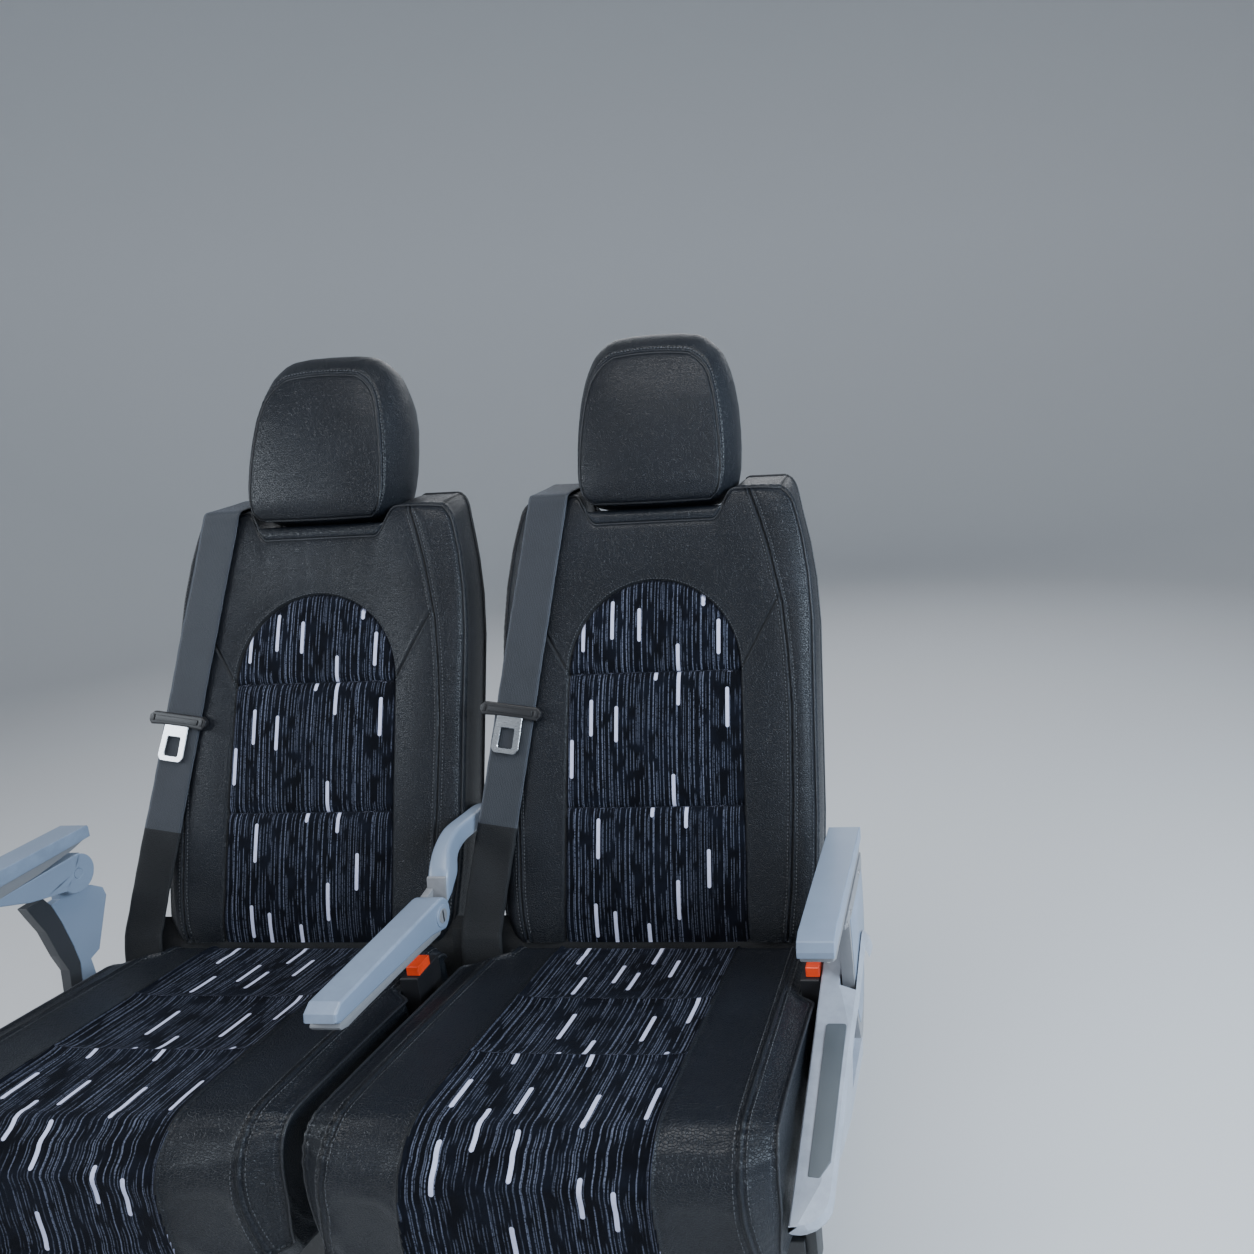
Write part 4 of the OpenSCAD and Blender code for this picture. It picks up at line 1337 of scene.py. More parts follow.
# ================================================================ seat cushion
C_PATH = np.array(
    [(143.0, 438), (140, 445.5), (132, 450.5), (120, 453.6), (60, 461.0), (0, 468.2), (-60, 475.2), (-120, 481.8), (-165, 486.2), (-190, 488.3)]
    + [(-198 + 58 * math.cos(a), 431 + 58 * math.sin(a)) for a in np.radians([97, 107, 117, 127, 137, 147, 157, 167, 177])]
    + [(-256, 420), (-255.2, 400), (-253, 380), (-250, 360)],
    float,
)
_seg = np.hypot(*np.diff(C_PATH, axis=0).T)
C_S = np.concatenate([[0], np.cumsum(_seg)])
C_LEN = float(C_S[-1])
C_FINE_S = np.linspace(0, C_LEN, 400)
_py, _pz = np.interp(C_FINE_S, C_S, C_PATH[:, 0]), np.interp(C_FINE_S, C_S, C_PATH[:, 1])
_k = np.ones(13) / 13
_pad = np.pad(_py, 6, mode="reflect", reflect_type="odd"), np.pad(_pz, 6, mode="reflect", reflect_type="odd")
C_Y, C_Z = np.convolve(_pad[0], _k, "valid"), np.convolve(_pad[1], _k, "valid")
_ty, _tz = np.gradient(C_Y), np.gradient(C_Z)
_m = np.hypot(_ty, _tz)
C_NY, C_NZ = _tz / _m, -_ty / _m  # outward: up on the top, forward on the front


def s_of_y(y):
    """Path length from the rear at which the top face reaches y."""
    top = C_FINE_S < 380
    return float(np.interp(-y, -C_Y[top], C_FINE_S[top]))


S_BUCKLE0, S_BUCKLE1 = s_of_y(28), s_of_y(6)
S_BELT0, S_BELT1 = s_of_y(112), s_of_y(90)


def c_right(s):
    return 203.0 + (224.5 - 203.0) * smooth(s, S_BUCKLE0, S_BUCKLE1) - 5.0 * smooth(s, C_LEN - 60, C_LEN)


def c_left(s):
    return 182.0 + (224.5 - 182.0) * smooth(s, S_BELT0, S_BELT1) - 5.0 * smooth(s, C_LEN - 60, C_LEN)


def c_param(U, V):
    s = V * C_LEN
    return np.where(U >= 0, U * c_right(s), U * c_left(s)), s + 0.0 * U


def c_uv(x, s):
    return np.where(x >= 0, x / c_right(s), x / c_left(s)), s / C_LEN


def c_dbl(s, side):
    base = np.interp(s, [0, 150, 400, 450, C_LEN], [186, 190, 195, 197, 205])
    lim = (c_right(s) if side > 0 else c_left(s)) - 14
    return np.minimum(base, lim)


def c_ins(s):
    return np.interp(s, [0, 360, 430, C_LEN], [113, 116.5, 118, 123])


def c_front(U, V):
    X, S = c_param(U, V)
    ax = np.abs(X)
    lim = np.where(X >= 0, c_right(S), c_left(S))
    xs = np.where(X >= 0, c_dbl(S, 1), c_dbl(S, -1))
    off = -2.2 * (1 - smooth(ax, 60, 150)) * smooth(S, 20, 120) * (1 - smooth(S, 330, 420))
    off = off - 9.0 * np.clip((ax - xs) / np.maximum(lim - xs, 10), 0, 1) ** 1.9
    y, z = np.interp(S, C_FINE_S, C_Y), np.interp(S, C_FINE_S, C_Z)
    ny, nz = np.interp(S, C_FINE_S, C_NY), np.interp(S, C_FINE_S, C_NZ)
    # the front corners turn back a little in plan
    turn = 20.0 * np.clip((ax - 150) / 74, 0, 1) ** 2.6 * smooth(S, 330, 440)
    return np.stack([X, y + ny * off + turn, z + nz * off], -1)


def c_rear(U, V):
    s = V * C_LEN
    half = np.where(U >= 0, c_right(s), c_left(s)) - 3
    y = 142 + V**0.9 * (-226 - 142)
    X = U * half
    turn = 14.0 * np.clip((np.abs(X) - 150) / 74, 0, 1) ** 2.6 * smooth(V, 0.6, 1)
    return np.stack([X, y + turn, np.full_like(X, 337.3)], -1)


def c_band(F, R, U, V, s):
    P = F + (R - F) * s
    side = (np.abs(U) > 0.999) & (V > 0.001) & (V < 0.999)
    out = math.sin(math.pi * s)
    lim = F[..., 0]
    P[..., 0] = np.where(side, lim + np.sign(U) * (2.2 * out - 1.0 * s), P[..., 0])
    P[..., 1] = np.where(V < 0.001, P[..., 1] + 1.0 * out, P[..., 1])
    return P


C_INS_R = [(float(c_ins(s)), s) for s in np.linspace(0, C_LEN, 50)]
C_INS_L = [(-x, s) for x, s in C_INS_R]
C_T1, C_T2 = s_of_y(5), s_of_y(-108)
C_DBL_R = [(float(c_dbl(s, 1)), s) for s in np.linspace(2, C_LEN, 70)]
C_DBL_L = [(-float(c_dbl(s, -1)), s) for s in np.linspace(2, C_LEN, 70)]


def c_near_parts(x, s):
    ins = np.minimum(poly_dist(x, s, C_INS_R), poly_dist(x, s, C_INS_L))
    hor = np.minimum(np.abs(s - C_T1), np.abs(s - C_T2))
    hor = np.where(np.abs(x) < c_ins(s), hor, 1e9)
    dbl = np.minimum(poly_dist(x, s, C_DBL_R), poly_dist(x, s, C_DBL_L))
    return ins, hor, dbl


def c_near(x, s):
    return np.minimum.reduce(c_near_parts(x, s))


def make_cushion():
    d = Drum("cushion", 64, 72, 12, c_front, c_rear, c_band, c_param, c_uv, c_near, cap=5.0, pressure=4.0, band_near=lambda q: q.SB)
    ins, hor, dbl = c_near_parts(d.X, d.H)
    lim = np.where(d.X >= 0, c_right(d.H), c_left(d.H))
    edge = np.minimum.reduce([lim - np.abs(d.X), d.H + 0.0, C_LEN - d.H])
    inside = np.abs(d.X) < c_ins(d.H)
    swell = 2.2 * (1 - np.exp(-np.minimum.reduce([ins, dbl, edge]) / 11.0)) - 2.2
    pull = -1.3 * gauss(hor, 7.0) - 0.7 * gauss(hor, 1.6)
    groove = -1.6 * gauss(ins, 1.5) + 0.6 * gauss(ins - 3.8, 2.3)
    double = -1.9 * gauss(dbl, 1.0) + 1.25 * gauss(dbl - 2.6, 1.25) - 0.7 * gauss(dbl - 6.0, 1.3)
    rim = -1.0 * gauss(edge, 2.0) + 0.7 * gauss(edge - 4.6, 2.4)
    pucker = 0.2 * np.sin(d.H * 2 * math.pi / 8.3 + 1.7 * np.sin(d.H * 0.15)) * (gauss(dbl - 8, 5) + gauss(edge - 7, 5))
    # creases where the cover turns down at the front corners
    nose = gauss(d.H - s_of_y(-170) - 62, 46)
    crease = 0.8 * np.sin(d.H * 2 * math.pi / 17.0 + np.abs(d.X) * 0.055 + 2.0 * np.sin(d.H * 0.05)) * nose * smooth(np.abs(d.X), 165, 205)
    d.displace(swell + pull + groove + double + rim + pucker + crease, None)
    drape = 0.7 * np.sin(d.LB[:, None] * 2 * math.pi / 61.0 + 1.9 * np.sin(d.LB[:, None] * 0.013)) * smooth(d.SB, 12, 60)
    dB = -1.2 * gauss(d.SB, 1.8) + 0.9 * gauss(d.SB - 4.5, 2.2) + drape
    dB += 0.22 * np.sin(d.LB[:, None] * 2 * math.pi / 9.0) * gauss(d.SB - 8, 6)
    d.displace(np.zeros_like(d.X), dB)
    d.NF = normals(d.PF)
    # painted shade along the seam grooves and edges, and painted highlight on the seam ridges and beside the welt
    painted_shadeF = np.clip(gauss(ins, 1.4) + 0.85 * gauss(dbl, 0.9) + 0.4 * gauss(hor, 1.1) + 0.5 * gauss(dbl - 6, 1.0) + 0.7 * gauss(edge, 1.8), 0, 1)
    painted_shadeB = np.clip(0.9 * gauss(d.SB, 1.7), 0, 1)
    painted_highlightF = np.clip(0.9 * gauss(dbl - 2.6, 1.1) + 0.8 * gauss(edge - 4, 2.2), 0, 1)
    painted_highlightB = np.clip(0.5 * gauss(d.SB - 4, 2), 0, 1)
    return d, painted_shadeF, painted_shadeB, painted_highlightF, painted_highlightB


cush, cf, cb, wf, wb = make_cushion()


def c_sections(x, s):
    return np.where(s < C_T1, 5.0, np.where(s < C_T2, 6.0, 7.0))


CUSH_MESH = cush.mesh(lambda v: v, lambda x, s: np.abs(x) < c_ins(s), c_sections, cf, cb, wf, wb)


def cushion_trim():
    p = Parts()
    n_out = cush.NB[:, 2] + cush.NF[cush.lj, cush.li]
    n_out /= np.linalg.norm(n_out, axis=1, keepdims=True)
    sel = np.arange(0, len(cush.PB), 4)
    loop = (cush.PB[:, 0] + n_out * 0.4)[sel]
    a, b = cush.CN, cush.CN + cush.RN
    c, e = 2 * cush.CN + cush.RN, len(cush.PB)
    for lo, hi in ((a, b), (c, e)):
        v, f = tube_arrays(loop[(sel >= lo) & (sel <= hi)], 1.6, 8)
        p.add(v, f, 1)
    for line in (C_DBL_R, C_DBL_L):
        for off in (6.0, -6.0):
            p.stitches(cush, offset_line(line[1:-1], off), 4.7)
    for sgn, lim in ((1, c_right), (-1, c_left)):
        line = [(sgn * (float(lim(s)) - 4.6), s) for s in np.linspace(14, C_LEN - 10, 80)]
        p.stitches(cush, line, 4.7)
    return p


STITCH_CUSH = cushion_trim().mesh("cushion_seams", [THREAD, PIPING])

for seat, cx in SEATS.items():
    me = BACK_MESH if cx == 0 else shifted(BACK_MESH, cx, "backrest_w")
    ob = show(f"{seat}_backrest_cover", me, f"{seat}_back", (f"{seat}_back_cushion",))
    me = STITCH_BACK if cx == 0 else shifted(STITCH_BACK, cx, "backrest_seams_w")
    show(f"{seat}_backrest_seams", me, f"{seat}_back")
    me = HEAD_MESH if cx == 0 else shifted(HEAD_MESH, cx, "headrest_w")
    ob = show(f"{seat}_headrest_cover", me, f"{seat}_headrest", (f"{seat}_headrest",))
    me = STITCH_HEAD if cx == 0 else shifted(STITCH_HEAD, cx, "headrest_seams_w")
    show(f"{seat}_headrest_seams", me, f"{seat}_headrest")
    me = CUSH_MESH if cx == 0 else shifted(CUSH_MESH, cx, "cushion_w")
    ob = show(f"{seat}_cushion_cover", me, "underframe", (f"{seat}_seat_cushion",))
    me = STITCH_CUSH if cx == 0 else shifted(STITCH_CUSH, cx, "cushion_seams_w")
    show(f"{seat}_cushion_seams", me, "underframe")

# ================================================================ shoulder belts
RISE = 0.41


def top_plane(t):
    return 577 + (t + 14) * RISE


def belt_x(h):
    return -140 - (586 - h) * 87 / 574


def belt_path():
    """Centre line of the webbing in row axes, from the top's rear down to the beam."""
    pts = [(belt_x(600), 52, top_plane(52) + 2.0), (belt_x(592), 22, top_plane(22) + 2.0), (belt_x(582), -6, top_plane(-6) + 2.0), (belt_x(579), -14.2, 578.6), (belt_x(575), -18.4, 575.0), (belt_x(569), -19.9, 569.0)]
    pts += [(belt_x(h), -20.0 - 0.5 * math.sin(h * 0.021), h) for h in np.linspace(556, 60, 14)]
    pts += [(belt_x(30), -19.6, 30)]
    w = [tuple(p) for p in to_back(np.array(pts))]
    w += [(-226.5, 152.8, 461.5)] + [(-226, y, z) for y, z in ((147.9, 448.0), (138.0, 400.0), (129.0, 352.0), (125.6, 336.0), (122.5, 328.6))]
    c = curve_pts(w, 8)
    s = np.concatenate([[0], np.cumsum(np.linalg.norm(np.diff(c, axis=0), axis=1))])
    q = np.linspace(0, s[-1], int(s[-1] / 3.0))
    return np.stack([np.interp(q, s, c[:, k]) for k in range(3)], 1), q


def belt_mesh():
    p, s = belt_path()
    tan = np.gradient(p, axis=0)
    tan /= np.linalg.norm(tan, axis=1, keepdims=True)
    x = np.array([1.0, 0, 0])
    ac = x - tan * (tan @ x)[:, None]
    ac /= np.linalg.norm(ac, axis=1, keepdims=True)
    nrm = np.cross(ac, tan)
    low = p[:, 2]
    start = to_back(np.array([[belt_x(148), -20, 148.0]]))[0, 2]
    sl = smooth(-low, -start - 1.5, -start + 1.5)
    n = 15
    q = np.linspace(-1, 1, n)
    rings, fu = [], []
    for k in range(len(p)):
        half = 26.8 + 0.5 * sl[k] + 0.18 * math.sin(s[k] * 0.19)
        th = 1.15 + 1.1 * sl[k]
        prof = th * np.clip(1 - np.abs(q) ** 10, 0, 1) ** 0.5
        cup = 0.5 * q**2 * (1 - sl[k]) + 0.35 * math.sin(s[k] * 0.045) * q - 0.9 * sl[k] * (1 - q**2)
        a = p[k] + np.outer(q * half, ac[k])
        top = a + np.outer(prof - cup, nrm[k])
        bot = a + np.outer(-prof - cup, nrm[k])
        rings.append(np.concatenate([top, bot[-2:0:-1]]))
        fu.append(np.concatenate([q * half, (q * half)[-2:0:-1]]))
    v, f = loft(rings)
    m = len(rings[0])
    mats = []
    for t in f:
        k = min(t) // m
        mats.append(1 if sl[min(k, len(sl) - 1)] > 0.5 else 0)
    me = bpy.data.meshes.new("belt")
    me.from_pydata((v * 0.001).tolist(), [], f)
    me.polygons.foreach_set("material_index", mats)
    me.polygons.foreach_set("use_smooth", [True] * len(f))
    me.materials.append(WEB)
    me.materials.append(SLEEVE)
    me.attributes.new("fu", "FLOAT", "POINT").data.foreach_set("value", np.concatenate(fu).astype(np.float32))
    me.attributes.new("fv", "FLOAT", "POINT").data.foreach_set("value", np.repeat(s, m).astype(np.float32))
    me.validate()
    me.update()
    return me


def plate_with_hole(outer, inner, a, b, edge=0.6):
    """A flat ring between two outlines of equal length, in x and h, thick from a to b along t."""

    def grow(poly, d):
        p = np.asarray(poly, float)
        c = p.mean(0)
        r = np.maximum(np.abs(p - c).max(0), 1e-6)
        return c + (p - c) * (r + d) / r

    rings = []
    for poly, d, t in ((outer, 0, b - edge), (outer, -edge, b), (inner, edge, b), (inner, 0, b - edge), (inner, 0, a + edge), (inner, edge, a), (outer, -edge, a), (outer, 0, a + edge)):
        g = grow(poly, d)
        rings.append([(x, t, h) for x, h in g])
    v, f = loft(rings + [rings[0]], caps=False)
    n = len(outer)
    f = [tuple(i % (8 * n) for i in t) for t in f]
    return v[: 8 * n], f


BELT_TILT = math.atan2(87, 574)


def on_belt(v, h0=292.0):
    """Puts shapes drawn about the stop's centre line on the backrest."""
    v = np.asarray(v, float)
    c, s = math.cos(BELT_TILT), math.sin(BELT_TILT)
    x = v[:, 0] * c + v[:, 2] * s
    h = -v[:, 0] * s + v[:, 2] * c
    return np.stack([x + belt_x(h0) - 5, v[:, 1], h + h0], 1)


def stop_mesh():
    p = Parts()
    p.bm(prism(fillet([(-42, -3), (-38, -9), (-19, -7.6), (19, -7.6), (38, -9), (42, -3), (42, 4), (36, 9), (-36, 9), (-42, 4)], 3.0), -26.0, -17.4, "y", 2.6, 4))
    p.bm(prism(fillet([(-31, -3.2), (31, -3.2), (31, 4.2), (-31, 4.2)], 2.5), -27.6, -25.6, "y", 0.9, 3))
    for x in (-36, 36):
        p.bm(prism(fillet([(x - 2.4, -4), (x + 2.4, -4), (x + 2.4, 5), (x - 2.4, 5)], 1.5), -27.0, -25.6, "y", 0.6, 2))
    v = np.concatenate(p.v)
    p.v = [on_belt(v)]
    return p.mesh("belt_stop", [BLACK], to_back, 30)


def tongue_mesh():
    p = Parts()
    outer = fillet([(-14.5, -55), (14.5, -55), (19.0, -49), (17.5, -6), (-17.5, -6), (-19.0, -49)], [5, 5, 4, 2, 2, 4], 6)
    inner = fillet([(-9.3, -48), (9.3, -48), (10.0, -45), (9.3, -22), (-9.3, -22), (-10.0, -45)], [2.0, 2.0, 1.4, 2.0, 2.0, 1.4], 6)
    v, f = plate_with_hole(outer, inner, -25.0, -22.2, 0.7)
    p.add(v, f)
    v = np.concatenate(p.v)
    # the plate stands off a little at its lower end
    v[:, 1] -= np.clip(-9 - v[:, 2], 0, 60) * 0.03
    p.v = [on_belt(v)]
    return p.mesh("belt_tongue", [STEEL], to_back, 35)


SLEEVE = leather("belt_sleeve", (0.010, 0.011, 0.013), rough=0.62, grain=0.7, painted_seam_shade=False)
BELT_MESH, STOP_MESH, TONGUE_MESH = belt_mesh(), stop_mesh(), tongue_mesh()
for seat, cx in SEATS.items():
    me = BELT_MESH if cx == 0 else shifted(BELT_MESH, cx, "belt_w")
    ob = show(f"{seat}_belt", me, None, (f"{seat}_shoulder_belt", f"{seat}_belt_anchor"))
    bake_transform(ob)
    me = STOP_MESH if cx == 0 else shifted(STOP_MESH, cx, "belt_stop_w")
    show(f"{seat}_belt_stop_cover", me, f"{seat}_back", (f"{seat}_belt_stop",))
    me = TONGUE_MESH if cx == 0 else shifted(TONGUE_MESH, cx, "belt_tongue_w")
    show(f"{seat}_belt_tongue_plate", me, f"{seat}_back", (f"{seat}_belt_tongue",))

# ================================================================ rear shell, pocket, collars, closing flap
SHELL_HALF = [(0, 26), (176, 26), (186, 36), (193, 52), (196, 150), (200, 400), (197, 460), (190, 510), (181, 555), (177, 578), (168, 596), (158, 602), (122, 602), (115, 597), (113, 552), (0, 552)]


def shell_mesh():
    half = []
    src = np.array(SHELL_HALF, float)
    for a, b in zip(src[:-1], src[1:]):
        n = max(1, int(np.linalg.norm(b - a) / 14))
        half += [tuple(a + (b - a) * k / n) for k in range(n)]
    half.append(tuple(src[-1]))
    ring = half + [(-x, h) for x, h in half[-2:0:-1]]
    ring = np.array(ring)
    c = np.array([0.0, 300.0])
    rings = []
    for t, d in ((58.4, 0.8), (60.5, 0.0), (76, 0.0), (83, 1.6), (88, 5.0), (90.6, 10.0), (91.6, 17.0)):
        r = ring - c
        m = np.abs(r).max(0)
        g = c + r * (m - d) / m
        # the dip's floor goes down, not up, as the ring shrinks
        g[:, 1] = np.where((np.abs(ring[:, 0]) < 114) & (ring[:, 1] > 540), ring[:, 1] - d, g[:, 1])
        h = g[:, 1] - np.clip(t - 72, 0, 30) * 0.95 * smooth(g[:, 1], 540, 600) * (np.abs(ring[:, 0]) > 114.5)
        rings.append(np.stack([g[:, 0], np.full(len(g), t), h], 1))
    v, f = loft(rings, caps=False)
    n = len(ring)
    bm = bmesh.new()
    bv = [bm.verts.new(x) for x in v]
    for t in f:
        bm.faces.new([bv[i] for i in t])
    bm.faces.new([bv[i] for i in range(n)])
    # the rear face: one face across the last ring
    last = bv[(len(rings) - 1) * n :]
    bm.faces.new(last[::-1])
    bmesh.ops.recalc_face_normals(bm, faces=bm.faces)
    p = Parts()
    p.bm(bm)
    # moulded ribs and a grab recess rim on the rear face
    for h in (340, 352, 364):
        p.bm(prism(fillet([(-140, h - 2.2), (140, h - 2.2), (140, h + 2.2), (-140, h + 2.2)], 2.0), 90.8, 93.0, "y", 0.9, 2))
    v2, f2 = plate_with_hole(fillet([(-78, 470), (78, 470), (78, 512), (-78, 512)], 14), fillet([(-70, 477), (70, 477), (70, 505), (-70, 505)], 9), 90.6, 93.6, 1.0)
    p.add(v2, f2)
    for x, h in ((-170, 90), (170, 90), (-176, 330), (176, 330), (-150, 530), (150, 530)):
        p.bm(disc((x, 90.2, h), "y", 5.2, 2.0, 24, 0.7, 2), 1)
        p.bm(disc((x, 92.0, h), "y", 2.2, 0.4, 6, 0.0), 1)
    return p.mesh("shell", [SHELL, DARK], to_back, 28)


def pocket_mesh():
    p = Parts()
    # a gathered panel that bellies out below its elastic hem
    nu, nv = 48, 34
    rows = []
    for j in range(nv + 1):
        v = j / nv
        h = 112 + v * 178
        row = []
        for i in range(nu + 1):
            u = -1 + 2 * i / nu
            x = 148 * u
            belly = (1 - abs(u) ** 5) * (2.2 + 4.4 * math.sin(math.pi * min(1, v * 1.15)) ** 0.7) * (1 - 0.35 * v)
            gather = 0.55 * math.sin(u * 46 + 1.5 * math.sin(u * 9)) * math.exp(-((1 - v) / 0.16) ** 2)
            row.append((x, 92.4 + min(7.2, belly + gather), h))
        rows.append(row)
    g = np.array(rows)
    back = g.copy()
    back[..., 1] = 92.0
    n = (nu + 1) * (nv + 1)
    idx = np.arange(n).reshape(nv + 1, nu + 1)
    f = []
    for j in range(nv):
        for i in range(nu):
            q = (idx[j, i], idx[j, i + 1], idx[j + 1, i + 1], idx[j + 1, i])
            f.append(q[::-1])
            f.append(tuple(k + n for k in q))
    lj, li = loop_ij(nu, nv)
    ring = idx[lj, li]
    for a, b in zip(ring, np.roll(ring, -1)):
        f.append((a, b, b + n, a + n))
    p.add(np.concatenate([g.reshape(-1, 3), back.reshape(-1, 3)]), f, 0)
    hem = [(x, 96.4, 291) for x in np.linspace(-148, 148, 40)]
    v, fc = tube_arrays(hem, 3.4, 10)
    p.add(v, fc, 1)
    for side in (-1, 1):
        v, fc = tube_arrays([(side * 148, 94.0, h) for h in np.linspace(112, 290, 24)], 1.6, 8)
        p.add(v, fc, 1)
    v, fc = tube_arrays([(x, 94.0, 112) for x in np.linspace(-148, 148, 40)], 1.6, 8)
    p.add(v, fc, 1)
    return p.mesh("pocket", [VINYL, DARK], to_back, 50)


def collar_mesh():
    p = Parts()
    for s in (-1, 1):
        p.bm(disc((s * 55, 24, 553), "z", 12.5, 4.2, 40, 1.2, 3), 0)
        p.bm(disc((s * 55, 24, 557.0), "z", 8.6, 1.6, 32, 0.6, 2), 0)
    p.bm(prism([(66, 557.0), (74, 557.0), (74, 559.0), (66, 559.0)], 20, 28, "y", 0.7, 2), 0)
    return p.mesh("collars", [BLACK], to_back, 35)


def flap_mesh():
    prof = [(178, 470), (174, 461), (170, 452), (168, 446), (164.5, 438), (161.5, 428), (159.6, 416), (159.4, 404), (161.5, 392), (166, 380)]
    prof = curve_pts(prof, 4)
    t = np.gradient(prof, axis=0)
    t /= np.linalg.norm(t, axis=1, keepdims=True)
    nrm = np.stack([t[:, 1], -t[:, 0]], 1)
    ring = np.concatenate([prof + nrm * 0.8, (prof - nrm * 0.8)[::-1]])
    rings = []
    for x in np.linspace(-222, 222, 75):
        w = 0.7 * math.sin(x * 0.11) + 0.5 * math.sin(x * 0.047)
        k = np.clip((450 - ring[:, 1]) / 30, 0, 1) * (1 - smooth(abs(x), 185, 222) * 0.5)
        rings.append(np.stack([np.full(len(ring), x), ring[:, 0] + w * k, ring[:, 1]], 1))
    v, f = loft(rings)
    p = Parts()
    p.add(v, f)
    return p.mesh("flap", [SLEEVE], None, 50)


def gap_shadow_sheet_mesh():
    """A thin dark sheet that closes the gap between the two seats behind the belt: painted shade, standing for the
    shadow in that gap.
    """
    prof = curve_pts([(150.5, 346), (151.5, 370), (153.2, 400), (155.4, 430), (158.2, 452), (160.5, 462)], 4)
    ring = np.concatenate([prof, (prof + (1.6, 0.2))[::-1]])
    rings = [np.stack([np.full(len(ring), x), ring[:, 0] + 1.2 * math.sin((x + 245) * 0.09), ring[:, 1]], 1) for x in np.linspace(-269.5, -219.5, 17)]
    v, f = loft(rings)
    p = Parts()
    p.add(v, f)
    return p.mesh("gap_shadow_sheet", [SLEEVE], None, 50)


show("seat_gap_shadow_sheet", gap_shadow_sheet_mesh(), "underframe")
SHELL_MESH, POCKET_MESH, COLLAR_MESH, FLAP_MESH = shell_mesh(), pocket_mesh(), collar_mesh(), flap_mesh()
for seat, cx in SEATS.items():
    for key, me0, slot, rep in (
        ("shell_moulding", SHELL_MESH, "shell_plastic", (f"{seat}_back_shell",)),
        ("pocket_panel", POCKET_MESH, "pocket_vinyl", (f"{seat}_seat_pocket",)),
        ("post_collars", COLLAR_MESH, "black_plastic", ()),
        ("gap_flap", FLAP_MESH, "black_plastic", ()),
    ):
        me = me0 if cx == 0 else shifted(me0, cx, me0.name + "_w")
        show(f"{seat}_{key}", me, f"{seat}_back", rep)

# ================================================================ armrests


def pad_parts(x0, x1, y0, top, n, lens=False):
    """Arm pad: a satin upper shell on a darker lip, n long, running rearwards from y0."""
    p = Parts()
    up = [(y0, top - 20.5), (y0 - 0.2, top - 13.5), (y0 + 3.6, top - 4.2), (y0 + 15.5, top), (y0 + 120, top - 0.8), (y0 + n - 2, top - 4), (y0 + n, top - 8), (y0 + n, top - 20.5)]
    p.bm(prism(up, x0, x1, "x", 3.2, 4, lambda e: abs(e.calc_length()) > 6), 0)
    if lens:
        lo = [(y0 + 4, top - 20.2), (y0 + 8, top - 27), (y0 + 26, top - 34), (y0 + 110, top - 36.5), (y0 + n - 80, top - 33), (y0 + n - 26, top - 26), (y0 + n - 4, top - 20.2)]
    else:
        lo = [(y0 + 3, top - 20.2), (y0 + 5.5, top - 27), (y0 + 21, top - 34), (y0 + n - 12, top - 34), (y0 + n - 4, top - 27), (y0 + n - 3, top - 20.2)]
    p.bm(prism(lo, x0 + 1.8, x1 - 1.8, "x", 2.2, 3, lambda e: e.verts[0].co.z < top - 21 or e.verts[1].co.z < top - 21), 1)
    screw(p, (x1 - 8.0, y0 + 8.4, top - 26.5), "-y", 2.6, 1.6, 2, 3)
    return p


ARM_MATS = [ARM, ARM_LOW, SCREW, BLACK]
aisle_pad = pad_parts(233, 271, -100, 603, 256)
show("aisle_armrest_pad_cover", aisle_pad.mesh("aisle_pad", ARM_MATS, None, 22), "aisle_armrest", ("aisle_armrest_pad",))
window_pad = pad_parts(-777, -739, -126, 626, 270, True)
show("window_armrest_pad_cover", window_pad.mesh("window_pad", ARM_MATS, None, 22), "window_armrest", ("window_armrest_pad",))


def leg_mesh():
    p = Parts()
    # flange under the pad, then the leg plate that narrows towards the pivot
    fl = [(-16, 568.5), (149, 568.5), (151, 558), (146, 549), (36, 549), (10, 553), (-14, 562)]
    p.bm(prism(fl, 251.5, 270.5, "x", 2.4, 2, lambda e: min(v.co.z for v in e.verts) < 567), 1)
    up = [(19, 562), (147, 562), (152, 546), (152, 528), (149.5, 500), (139, 470), (119, 440), (95, 410), (79, 392)] + arc(62, 400, 17, -20, -160, 9) + [(45, 396), (31, 430), (26, 500), (22, 532)]
    p.bm(prism(up, 255.6, 269.4, "x", 3.0, 2), 1)
    # raised rib round the outer side
    rib = [(29, 556), (139, 556), (144.5, 545), (144.5, 528), (142, 502), (132, 474), (113, 447), (90, 419), (76, 408), (50, 408), (38, 434), (33, 500), (30, 532)]
    p.bm(prism(rib, 268.6, 270.2, "x", 0.8, 2), 0)
    for y, z in ((117, 559), (28, 559), (-2, 562)):
        screw(p, (270.2, y, z), "x", 3.0, 1.4, 2, 3)
    return p.mesh("aisle_leg", ARM_MATS, None, 20)


show("aisle_armrest_leg_cover", leg_mesh(), "aisle_armrest", ("aisle_armrest_leg",))


